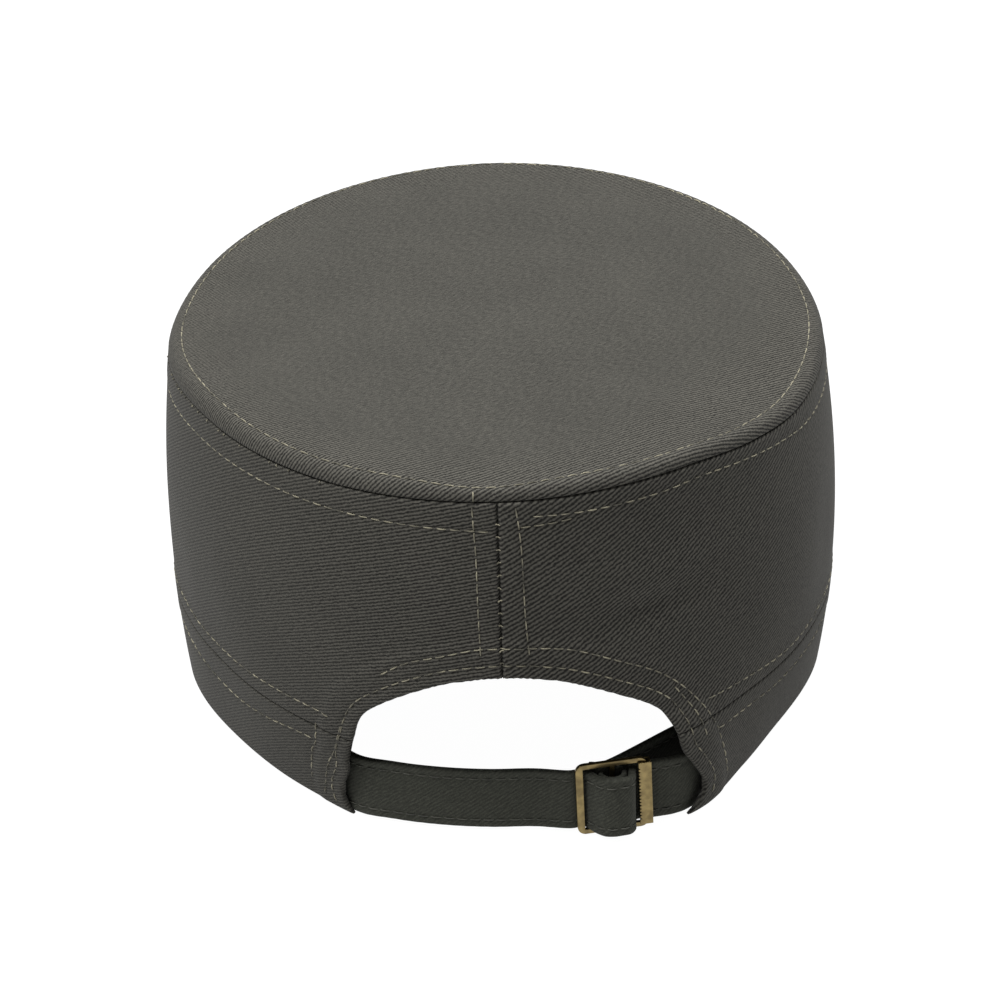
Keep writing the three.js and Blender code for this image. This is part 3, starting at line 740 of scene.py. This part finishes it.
band_azimuth, band_level = band_grid()
band_height = height_at(band_azimuth, band_level)
band_arc = arc_of((band_azimuth + 180) % 360 - 180)
hem_gap = band_height - hem_height(band_azimuth)
seam_gap = height_at(band_azimuth, BAND_LEVEL + SEAM_LAP) - band_height
flap_gap = beside(arch_flat, band_arc, band_height, 6)[0]
band_gap = np.minimum(np.minimum(hem_gap, seam_gap), flap_gap)
band_loops, band_cloth = cloth_loops(band_azimuth, band_level, band_gap, CLOTH / 2)
band_mesh = skin("head_band_cloth", band_loops, band_cloth, 0.8 * twice(brushed(band_azimuth)))
piece("head_band_cloth", band_mesh, olive_twill, "head_band")

# %% [markdown]
# ## Top panel
# The top is one oval of twill. Its edge is turned down and stitched all round, which rolls
# the rim over like a cushion, and the middle lies nearly flat with slow, shallow waves.

# %% The panel's profile
RIM_ARC = math.pi / 2 * (RIM_INSET + RIM_RISE) / 2


def panel_profile():
    """Rows of share, inset, rise and the distance over the cloth from the seam."""
    turns = np.linspace(0, 1, 15)
    quarter = math.pi / 2
    rim = [
        (1.0, RIM_INSET * (1 - math.cos(t * quarter)), RIM_RISE * math.sin(t * quarter), t * RIM_ARC) for t in turns
    ]
    past_rim = (0.3, 0.7, 1.2, 1.8, 2.5, 3.3, 4.2, 5.4, 7, 9, 11.5)
    near = [(1 - d / 92, RIM_INSET, RIM_RISE, RIM_ARC + d) for d in past_rim]
    shares = np.linspace(0.86, 0, 38)
    flat = [(s, RIM_INSET, RIM_RISE, RIM_ARC + (1 - s) * 92) for s in shares]
    low = RIM_RISE - CLOTH
    under = [(s, RIM_INSET, low, RIM_ARC + (1 - s) * 92) for s in (0, 0.35, 0.65, 0.86, 1)]
    inner = [
        (1.0, CLOTH + (RIM_INSET - CLOTH) * (1 - math.cos(t * quarter)), low * math.sin(t * quarter), t * RIM_ARC)
        for t in (0.66, 0.33, 0)
    ]
    return np.array(under + inner + rim + near + flat), len(under) + len(inner)


def panel_row(azimuth):
    """How far over the roll the row of stitches lies: it dips towards the back seam."""
    side = (azimuth + 180) % 360 - 180
    return 6.2 - 0.7 * bell(side + 25, 22) - 2.0 * bell(side + 2, 9)


def panel_relief(azimuth, over, share):
    """Height added to the panel's upper face."""
    side = (azimuth + 180) % 360 - 180
    arc = arc_of(side)
    beat = np.cos(2 * np.pi * arc / STITCH_PITCH)
    gap = np.abs(over - panel_row(azimuth))
    x, y = share * np.sin(np.radians(azimuth)), -share * np.cos(np.radians(azimuth))
    waves = 0.5 * np.sin(3.1 * x + 1.7 * y + 0.6) * np.cos(2.3 * y - 1.1 * x) + 0.3 * np.sin(5.3 * x - 3.9 * y)
    out = 0.25 * shelf(over, panel_row(azimuth), 0.5) - STITCH_SINK * bell(gap, 0.7) * (1 + 0.5 * beat)
    past = np.clip((over - 3) / (RIM_ARC - 3), 0, 1)
    sag = 2.3 * np.exp(-np.clip(over - RIM_ARC, 0, None) / 17) * bell(side - 40, 34)
    pinch = 1.2 * np.exp(-np.clip(over - RIM_ARC, 0, None) / 12) * bell(side + 1, 9)
    return out + PUCKER * beat * np.exp(-gap / 2.5) + (waves * (1 - share**4) - sag - pinch) * past


# %% Sew the panel
profile, upper_from = panel_profile()
PANEL_COLUMNS = 420


def panel_points(azimuth, share, inset, rise, over, lift):
    radius = share * (crown_radius(azimuth, 1.0) - inset)
    forward = -radius * np.cos(np.radians(azimuth))
    wander = stray("rise", azimuth) * share**2
    height = CROWN_HEIGHT + TOP_SLOPE * forward + wander + TOP_DOME * (1 - share**2) + rise
    steep = np.clip(1 - over / RIM_ARC, 0, 1) * (share > 0.99)
    edge = rounding(over, CLOTH / 2) * (over < CLOTH / 2)
    lean = steep * np.pi / 2
    return around(azimuth, radius + lift * np.sin(lean) - edge, height + lift * np.cos(lean))


panel_azimuth = np.linspace(0, 360, PANEL_COLUMNS + 1)[:, None] * np.ones(len(profile))
share, inset, rise, over = (profile[:, k][None] * np.ones((PANEL_COLUMNS + 1, 1)) for k in range(4))
lift = panel_relief(panel_azimuth, over, share)
lift[:, :upper_from] = 0
panel_loops = panel_points(panel_azimuth, share, inset, rise, over, lift)
reach = 92 + RIM_ARC - over
grain = math.radians(29)
plan_x, plan_y = reach * np.sin(np.radians(panel_azimuth)), -reach * np.cos(np.radians(panel_azimuth))
panel_cloth = np.stack(
    [plan_x * math.cos(grain) + plan_y * math.sin(grain), plan_y * math.cos(grain) - plan_x * math.sin(grain)], -1
)
# Painted shade: the wales' strength is raised in a band round the rim, widest at azimuth 50, so that their dark
# grooves darken the rim where it rolls down.
rim_wales_painted_shade = 0.05 + 0.95 * shelf(over, 16 + 14 * bell((panel_azimuth + 180) % 360 - 180 - 50, 30), 4)
panel_mesh = skin("top_panel_cloth", panel_loops, panel_cloth, rim_wales_painted_shade)
piece("top_panel_cloth", panel_mesh, olive_twill, "top_panel")

# %% [markdown]
# ## Peak
# The peak is a board between two layers of twill. It is hidden in the photograph, so it is
# finished plainly: the same outline as its solid, a rounded edge and rows of stitching that
# follow the outline, as such peaks have.

# %% Sew the peak
PEAK = {"length": 66, "angle": 62, "overhang": 2.5, "square": 2.25, "thick": 3, "tip": 3, "camber": 1.6}


def peak_point(u, v, w):
    """A point of the peak: u from its left end to its right, v out from the seam, w upwards."""
    azimuth = 180 + PEAK["angle"] * (1 - 2 * u)
    end = around(180 - PEAK["angle"], crown_radius(180.0 - PEAK["angle"], 0.0), 0)
    lift = PEAK["thick"] * w
    seam_height = hem_height(azimuth) + lift
    seam = around(azimuth, crown_radius(azimuth, level_at(azimuth, seam_height)) + SEAM_GAP, seam_height)
    sweep = (u - 0.5) * np.pi
    power = 2 / PEAK["square"]
    bow = np.maximum(np.cos(sweep), 0)
    reach = HEM_OVAL["length"] + PEAK["length"] - end[1]
    x = (end[0] + PEAK["overhang"]) * np.sign(sweep) * np.abs(np.sin(sweep)) ** power
    y = end[1] + reach * bow**power
    edge = np.stack(np.broadcast_arrays(x, y, PEAK["tip"] * bow**2 + lift), -1)
    point = seam * (1 - v[..., None]) + edge * v[..., None]
    point[..., 2] += PEAK["camber"] * np.sin(np.pi * v) * bow**2
    return point


def peak_reach(u):
    """How wide the peak is from its seam to its edge."""
    seam, edge = (peak_point(u, np.full_like(u, v), np.ones_like(u)) for v in (0.0, 1.0))
    return np.linalg.norm(edge - seam, axis=-1)


PEAK_ROWS = (5, 12, 19, 26, 33)  # from the peak's edge
peak_u = np.linspace(0, 1, 161)[:, None]
out_v = np.concatenate([np.linspace(0, 0.96, 80), 1 - 0.04 * np.cos(np.linspace(0.2, 1, 6) * np.pi / 2) ** 2])[None]
from_edge = (1 - out_v) * peak_reach(peak_u)
sunk = sum(bell(from_edge - row, 0.7) for row in PEAK_ROWS) * 0.07
round_edge = 0.5 * rounding(from_edge, PEAK["thick"] / 2) / (PEAK["thick"] / 2)
top_face = peak_point(peak_u, out_v * np.ones_like(peak_u), 1 - sunk - round_edge)
under_face = peak_point(peak_u, out_v * np.ones_like(peak_u), sunk * 0.5 + round_edge)
peak_loops = np.concatenate([under_face, top_face[:, ::-1], under_face[:, :1]], 1)
peak_cloth = peak_loops[..., :2] @ np.array([[0.8, -0.6], [0.6, 0.8]])
edge_worn = 0.5 - 0.4 * bell(from_edge, 2.5)
peak_wales = np.concatenate([edge_worn, edge_worn[:, ::-1], edge_worn[:, :1]], 1)
piece("peak_cloth", skin("peak_cloth", peak_loops, peak_cloth, peak_wales), olive_twill, "peak")

# %% [markdown]
# ## Strap and tab
# The strap is a folded strip of the same twill, stitched along both edges. It starts inside
# the left flap, passes behind the buckle's left bar, over the middle bar, and back behind
# the toothed grip. The tab loops round the middle bar and is sewn inside the right flap.
# Both stand on edge along a path seen from above.

# %% The buckle's sizes and the strap's path
BUCKLE = {"x": 26.8, "y": -89.9, "z": 10.6, "turn": math.radians(10), "tilt": math.radians(1.2)}
HALF_FRAME, SIDE_BAR, FRAME_DEPTH = 9.3, 1.9, 1.2
MIDDLE_BAR, MIDDLE_BAR_X, BAR_SLACK, LOOP_SLACK = 1.2, 0.2, 0.45, 1.4
GRIP_SHEET, GRIP_LAP = 0.6, 2.2
STRAP = {"width": 16.9, "thick": 1.8, "z": 9.3, "drop": 0.72, "inset": 19, "bow": 8.6}
STRAP |= {"reach": 42, "end": 11, "slack": 0.9, "bend": 1.9}
TAB = {"width": 17, "thick": 1.9, "loop": 1.2, "end": 11, "lead": 2.5, "drop": 9.4, "spread": 1.3, "lift": 0.5}
STRAP_SAG = 0.8
STRAP_LINE = [(-0.9, 0.03), (-0.66, 0.54), (-0.38, 0.88), (-0.1, 1.07), (0.16, 1.13)]
STRAP_BULGE = [
    # along the buckle, outwards, in shares of its opening and of the bulge
    (0.05, 0.12),
    (0.12, 0.38),
    (0.21, 0.68),
    (0.33, 0.91),
    (0.48, 1),
    (0.63, 0.98),
    (0.78, 0.865),
    (0.875, 0.645),
    (0.915, 0.36),
    (0.945, 0.05),
]
LOOP_HOLE = MIDDLE_BAR * math.sqrt(0.5) + BAR_SLACK
LOOP_RADIUS = LOOP_HOLE + TAB["loop"]
OVER_LOOP = LOOP_RADIUS + LOOP_SLACK + STRAP["thick"]
BEHIND_BAR = -(FRAME_DEPTH / 2 + BAR_SLACK)
BEHIND_GRIP = BEHIND_BAR - SEAM_GAP - GRIP_SHEET
GRIP_EDGE = HALF_FRAME - GRIP_LAP
INSIDE_HEM = CLOTH + STRAP["slack"]


def from_buckle(x, out):
    """A point in plan, from the buckle's own x along the strap and outwards."""
    c, s = math.cos(BUCKLE["turn"]), math.sin(BUCKLE["turn"])
    return (BUCKLE["x"] + x * c + out * s, BUCKLE["y"] + x * s - out * c)


def inside_flap(azimuth, inward):
    return tuple(around(azimuth, crown_radius(azimuth, 0.0) - inward, 0)[:2])


def strap_path():
    back = -(HEM_OVAL["length"] - STRAP["inset"])
    left_bar = -HALF_FRAME + SIDE_BAR
    bend = STRAP["bend"]
    stations = [inside_flap(FLAP_LEFT - STRAP["end"] * share, INSIDE_HEM) for share in (1, 0.5)]
    stations += [(along * STRAP["reach"], back - bow * STRAP["bow"]) for along, bow in STRAP_LINE]
    stations += [from_buckle(-HALF_FRAME - bend, BEHIND_BAR), from_buckle(left_bar, BEHIND_BAR)]
    for along, out in STRAP_BULGE:
        x = left_bar + (GRIP_EDGE - left_bar) * along
        stations.append(from_buckle(x, BEHIND_BAR + (OVER_LOOP - BEHIND_BAR) * out))
    stations += [from_buckle(GRIP_EDGE, BEHIND_GRIP)]
    stations += [from_buckle(HALF_FRAME + bend, BEHIND_GRIP), inside_flap(FLAP_RIGHT - 3.5, CLOTH + 0.6)]
    stations += [inside_flap(FLAP_RIGHT, CLOTH + 0.5)]
    stations += [inside_flap(FLAP_RIGHT + STRAP["end"] * share, INSIDE_HEM) for share in (0.5, 1)]
    return spaced(smooth_line(stations), 320)


def ease(x, low, high):
    """0 below low, 1 above high and smooth between them. Low may be the larger one."""
    s = np.clip((x - low) / (high - low), 0, 1)
    return s * s * (3 - 2 * s)


def strap_centre(x):
    """Height of the strap's middle line, which follows the buckle's tilt where it passes it."""
    tilted = BUCKLE["z"] - STRAP["drop"] + (x - BUCKLE["x"]) * math.tan(BUCKLE["tilt"])
    to_buckle = STRAP["z"] + (tilted - STRAP["z"]) * ease(x, -STRAP["reach"], BUCKLE["x"] - HALF_FRAME)
    centre = to_buckle + (STRAP["z"] - to_buckle) * ease(x, BUCKLE["x"] + HALF_FRAME, ARCH_RIGHT)
    return centre - STRAP_SAG * (ease(x, -30, -44) + ease(x, 28, 34.5))


# %% Build a strip that stands on edge
EDGE_ROW = 2.3  # from a strap's edge to its row of stitches
EDGE_RADIUS = 0.55


def strip_frame(path):
    """Each point's direction along the path and its inward side, in plan."""
    along = np.gradient(path, axis=0)
    along /= np.linalg.norm(along, axis=1)[:, None]
    return along, np.stack([-along[:, 1], along[:, 0]], -1)


def strip_loops(path, thick, width, centre, count=26):
    """Loops round a strip's section: a flat oblong with turned edges and two sunk rows."""
    run = lengths(path)
    inward = strip_frame(path)[1]
    up = edge_rows(width, count) * width
    to_edge = np.minimum(up, width - up)
    beat = np.cos(2 * np.pi * run / STITCH_PITCH)[:, None]
    sink = 0.22 * bell(to_edge - EDGE_ROW, 0.6)[None] * (1 + 0.5 * beat)
    puff = 0.12 * shelf(to_edge, EDGE_ROW, 0.4)[None] + 0.06 * beat * np.exp(-np.abs(to_edge - EDGE_ROW) / 2)[None]
    turned = rounding(to_edge, EDGE_RADIUS)[None]
    depth = turned + sink - puff
    height = centre[:, None] + up[None] - width / 2
    outer = np.concatenate([path[:, None] + inward[:, None] * depth[..., None], height[..., None]], -1)
    back = thick - turned * np.ones_like(depth)
    inner = np.concatenate([path[:, None] + inward[:, None] * back[..., None], height[..., None]], -1)
    loops = np.concatenate([outer, inner[:, ::-1], outer[:, :1]], 1)
    flat = np.stack([run[:, None] * np.ones_like(height), height], -1) @ np.array([[0.8, -0.6], [0.6, 0.8]])
    return loops, np.concatenate([flat, flat[:, ::-1], flat[:, :1]], 1)


strap_plan = strap_path()
strap_loops, strap_cloth = strip_loops(strap_plan, STRAP["thick"], STRAP["width"], strap_centre(strap_plan[:, 0]))
strap_mesh = skin("back_strap_cloth", strap_loops, strap_cloth, 0.25)
piece("back_strap_cloth", strap_mesh, strap_twill, "back_strap")

# %% The tab and its loop
def tab_path():
    tab_inside = INSIDE_HEM + STRAP["thick"] + BAR_SLACK
    stations = [
        from_buckle(MIDDLE_BAR_X - 5.6, -LOOP_HOLE),
        from_buckle(MIDDLE_BAR_X, -(LOOP_HOLE + TAB["loop"] / 8)),
        inside_flap(FLAP_RIGHT + TAB["lead"], TAB["drop"]),
        inside_flap(FLAP_RIGHT + (TAB["lead"] + TAB["end"]) / 2, tab_inside + TAB["spread"]),
        inside_flap(FLAP_RIGHT + TAB["end"], tab_inside),
    ]
    return spaced(smooth_line(stations), 90)


def loop_path():
    """Most of a circle round the middle bar, clockwise seen from above."""
    sweep = np.radians(np.linspace(330, 0, 40))
    x, out = MIDDLE_BAR_X + LOOP_RADIUS * np.cos(sweep), LOOP_RADIUS * np.sin(sweep)
    return np.array([from_buckle(*point) for point in zip(x, out)])


tab_plan = tab_path()
tab_level = np.full(len(tab_plan), BUCKLE["z"] + TAB["lift"])
tab_loops, tab_cloth = strip_loops(tab_plan, TAB["thick"], TAB["width"], tab_level)
EYE_WIDTH = 14.4
eye_plan = loop_path()[::-1]
eye_loops, eye_cloth = strip_loops(eye_plan, TAB["loop"], EYE_WIDTH, np.full(len(eye_plan), BUCKLE["z"]))
tab_mesh = skin("tail", tab_loops, tab_cloth, 0.25)
eye_mesh = skin("eye", eye_loops, eye_cloth, 0.25)
both = bmesh.new()
both.from_mesh(tab_mesh)
both.from_mesh(eye_mesh)
joined = bpy.data.meshes.new("buckle_tab_cloth")
both.to_mesh(joined)
both.free()
piece("buckle_tab_cloth", joined, strap_twill, "buckle_tab")

# %% [markdown]
# ## Buckle
# The frame was cast and the grip was bent from sheet, and both were tumbled, which rounds
# every edge. The solids already have their exact shapes, so each is copied, its flat faces
# are joined again and a bevel rounds its edges.

# %% Round off the buckle
def tumbled(node, name, radius):
    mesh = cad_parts[node].data.copy()
    mesh.name = name
    work = bmesh.new()
    work.from_mesh(mesh)
    bmesh.ops.remove_doubles(work, verts=work.verts, dist=1e-6)
    bmesh.ops.dissolve_limit(work, angle_limit=math.radians(2), verts=work.verts, edges=work.edges)
    work.to_mesh(mesh)
    work.free()
    thing = piece(name, mesh, brass, node)
    bevel = thing.modifiers.new("rounded edges", "BEVEL")
    bevel.width = radius * MM
    bevel.segments = 3
    bevel.limit_method = "ANGLE"
    bevel.angle_limit = math.radians(35)
    bevel.harden_normals = True
    mesh.shade_smooth()


tumbled("buckle_frame", "buckle_frame_brass", 0.42)
tumbled("buckle_grip", "buckle_grip_brass", 0.12)

# %% [markdown]
# ## Stitches
# A lockstitch shows as short lengths of thread, each dipping into the cloth at both ends.
# Each is a small bent tube that sits on the cloth's own surface, so the stitches follow
# every curve and pucker.

# %% Lay one row of stitches
THREAD_RADIUS, STITCH_LENGTH = 0.18, 2.85
THREAD_SIDES = 6
STITCH_SHAPE = [(0, -0.24), (0.12, 0.05), (0.32, 0.17), (0.5, 0.2), (0.68, 0.17), (0.88, 0.05), (1, -0.24)]


def stitch_row(points, normals):
    """Tubes of thread along a row of surface points. A row shorter than a stitch gets one."""
    run = lengths(points)
    length = min(STITCH_LENGTH, run[-1])
    starts = np.arange(0, run[-1] - length + 0.01, STITCH_PITCH)

    def at(values, where):
        return np.stack([np.interp(where, run, values[:, k]) for k in range(3)], -1)

    share, lift = np.array(STITCH_SHAPE).T
    where = starts[:, None] + share[None] * length
    normal = at(normals, where)
    normal /= np.linalg.norm(normal, axis=-1, keepdims=True)
    spine = at(points, where) + normal * lift[None, :, None]
    along = np.gradient(spine, axis=1)
    along /= np.linalg.norm(along, axis=-1, keepdims=True)
    side = np.cross(along, normal)
    turn = np.linspace(0, 2 * np.pi, THREAD_SIDES, endpoint=False)
    ring = side[:, :, None] * np.cos(turn)[:, None] + normal[:, :, None] * np.sin(turn)[:, None]
    return spine[:, :, None] + THREAD_RADIUS * ring


def thread_mesh(name, rows):
    """One mesh for all the stitches of a piece."""
    tubes = np.concatenate([stitch_row(points, normals) for points, normals in rows])
    stitches, rings, sides = tubes.shape[:3]
    index = np.arange(tubes[..., 0].size).reshape(stitches, rings, sides)
    after = np.roll(index, -1, 2)
    quads = np.stack([index[:, :-1], after[:, :-1], after[:, 1:], index[:, 1:]], -1).reshape(-1, 4).tolist()
    ends = index[:, 0, ::-1].tolist() + index[:, -1].tolist()
    mesh = bpy.data.meshes.new(name)
    mesh.from_pydata(to_frame(tubes.reshape(-1, 3)).tolist(), [], quads + ends)
    mesh.shade_smooth()
    print(name, stitches, "stitches")
    return mesh


# %% Stitch the wall and the band
def on_wall(line):
    """Points and normals of the sewn wall along a row."""
    azimuth, height = azimuth_from(line[:, 0]), line[:, 1]

    def surface(a, h):
        return around(a, crown_radius(a, level_at(a, h)) + wall_relief(a, h), h)

    step = 0.4
    here = surface(azimuth, height)
    right = surface(azimuth + step, height) - surface(azimuth - step, height)
    above = surface(azimuth, height + step) - surface(azimuth, height - step)
    normal = np.cross(right, above)
    return here, normal / np.linalg.norm(normal, axis=-1, keepdims=True)


def crossing(azimuth, height, turn, reach):
    """A short line across a seam, where the thread that closes it shows."""
    side = np.array([math.cos(turn), math.sin(turn)]) * reach
    middle = np.array([arc_of(azimuth), height])
    return middle + np.linspace(-1, 1, 5)[:, None] * side


wall_rows = [on_wall(line) for line in WALL_ROWS.values()]
rng = np.random.default_rng(7)
for height in np.arange(57, 97, STITCH_PITCH):
    wall_rows.append(on_wall(crossing(0, height, rng.uniform(-0.5, 0.5), 0.6)))
for azimuth in np.arange(-85, -28, math.degrees(STITCH_PITCH / ROUND)):
    if rng.random() < 0.6:
        tick = crossing(azimuth + rng.uniform(-0.5, 0.5), top_height(azimuth) - 0.15, rng.uniform(1.0, 2.1), 0.3)
        wall_rows.append(on_wall(tick))
piece("wall_stitching", thread_mesh("wall_stitching", wall_rows), khaki_thread)

# %% Stitch the top panel
def on_panel(azimuth, over):
    """Points and normals of the panel's rolled rim, at distances over it from the seam."""
    one = np.ones_like(azimuth)
    turn = np.clip(over / RIM_ARC, 0, 1) * math.pi / 2
    inset, rise = RIM_INSET * (1 - np.cos(turn)), RIM_RISE * np.sin(turn)
    here = panel_points(azimuth, one, inset, rise, over, panel_relief(azimuth, over, one))
    return here, around(azimuth, np.cos(turn), np.sin(turn))


round_top = np.linspace(-180, 180, 1400)
panel_rows = [on_panel(round_top, panel_row(round_top))]
panel_rows.append(on_panel(np.full(20, -3.4), np.linspace(0.2, panel_row(-3.4), 20)))
piece("top_stitching", thread_mesh("top_stitching", panel_rows), khaki_thread)

# %% Stitch the straps and the peak
def on_strip(path, centre, row, start, stop):
    """Points and normals of a strip's outer face, along a row between two distances across."""
    inward = strip_frame(path)[1]
    height = centre + row
    here = np.concatenate([path + inward * 0.12, height[:, None]], -1)
    normal = np.concatenate([-inward, np.zeros((len(path), 1))], -1)
    keep = (path[:, 0] > start) & (path[:, 0] < stop)
    return here[keep], normal[keep]


strap_rows = []
for row in (STRAP["width"] / 2 - EDGE_ROW, EDGE_ROW - STRAP["width"] / 2):
    strap_rows.append(on_strip(strap_plan, strap_centre(strap_plan[:, 0]), row, -41, 46))
for row in (TAB["width"] / 2 - EDGE_ROW, EDGE_ROW - TAB["width"] / 2):
    strap_rows.append(on_strip(tab_plan, tab_level, row, 30, 52))
piece("strap_stitching", thread_mesh("strap_stitching", strap_rows), olive_thread)


def on_peak(row):
    """A row at a distance from the peak's edge, which runs into the band's seam at both ends."""
    u = np.linspace(0.03, 0.97, 900)
    v = 1 - row / peak_reach(u)
    u, v = u[v > 0.02], v[v > 0.02]
    return peak_point(u, v, np.full_like(u, 0.93)), np.tile([0.0, 0.0, 1.0], (len(u), 1))


piece("peak_stitching", thread_mesh("peak_stitching", [on_peak(row) for row in PEAK_ROWS]), khaki_thread)

# %% [markdown]
# ## Studio
# The cap stands on a white table lit from below, as small goods are often photographed, so
# the floor is even and its shadows are faint. Two broad lights hang high over it, one to the
# left on the camera's side and one to the right on the peak's side, and the sky fills the
# rest. A long lens looks down from behind the cap.

# %% Floor and lights
def light_table():
    """A sheet of white acrylic lit from below: even white, with only a breath of shadow."""
    material, _, shader = new_material("lit_white_acrylic_table")
    shader.inputs["Base Color"].default_value = linear("#4a4a4a")
    shader.inputs["Roughness"].default_value = 0.9
    shader.inputs["Specular IOR Level"].default_value = 0.1
    shader.inputs["Emission Color"].default_value = linear("#ffffff")
    shader.inputs["Emission Strength"].default_value = 0.985
    return material


floor_mesh = bpy.data.meshes.new("studio_floor")
floor_mesh.from_pydata([(-6, -6, 0), (6, -6, 0), (6, 6, 0), (-6, 6, 0)], [], [(0, 1, 2, 3)])
floor = bpy.data.objects.new("studio_floor", floor_mesh)
floor.location.z = -0.0005
bpy.context.scene.collection.objects.link(floor)
floor_mesh.materials.append(light_table())


def soft_light(name, place, size, watts):
    """A round, soft light that looks at the cap."""
    aim = Vector((0, -0.02, 0.05)) - Vector(place)
    light = bpy.data.lights.new(name, "AREA")
    light.shape = "DISK"
    light.size = size
    light.energy = watts
    lamp = bpy.data.objects.new(name, light)
    lamp.location = place
    lamp.rotation_euler = aim.to_track_quat("-Z", "Y").to_euler()
    bpy.context.scene.collection.objects.link(lamp)


soft_light("left_light", (-0.7, -0.35, 1.7), 1.0, 46)
soft_light("right_light", (0.58, 0.3, 1.7), 1.0, 36)
world = bpy.data.worlds.new("studio_sky")
world.use_nodes = True
world.node_tree.nodes["Background"].inputs["Color"].default_value = (1, 1, 1, 1)
world.node_tree.nodes["Background"].inputs["Strength"].default_value = 0.22
bpy.context.scene.world = world
bpy.context.scene.view_settings.view_transform = "Standard"

# %% Camera
ELEVATION, AZIMUTH, ROLL = math.radians(28.53), math.radians(0.48), math.radians(-1.8)
DISTANCE, FOCAL = 1.0, 3.696  # metres, and picture widths
AIM = Vector((AXIS_X * MM, AXIS_Y * MM, 0.05))
backward = Vector(
    (math.sin(AZIMUTH) * math.cos(ELEVATION), -math.cos(AZIMUTH) * math.cos(ELEVATION), math.sin(ELEVATION))
)
level_right = Vector((math.cos(AZIMUTH), math.sin(AZIMUTH), 0))
level_up = backward.cross(level_right)
right = level_right * math.cos(ROLL) + level_up * math.sin(ROLL)
up = backward.cross(right)
camera_data = bpy.data.cameras.new("camera")
camera_data.sensor_width = 36
camera_data.lens = FOCAL * camera_data.sensor_width
camera_data.clip_end = 50
camera_data.shift_y = -0.0072
camera = bpy.data.objects.new("camera", camera_data)
facing = Matrix((right, up, backward)).transposed().to_4x4()
camera.matrix_world = Matrix.Translation(AIM + backward * DISTANCE) @ facing
bpy.context.scene.collection.objects.link(camera)
bpy.context.scene.camera = camera
print(f"camera {DISTANCE:.2f} m away, {camera_data.lens:.0f} mm lens")
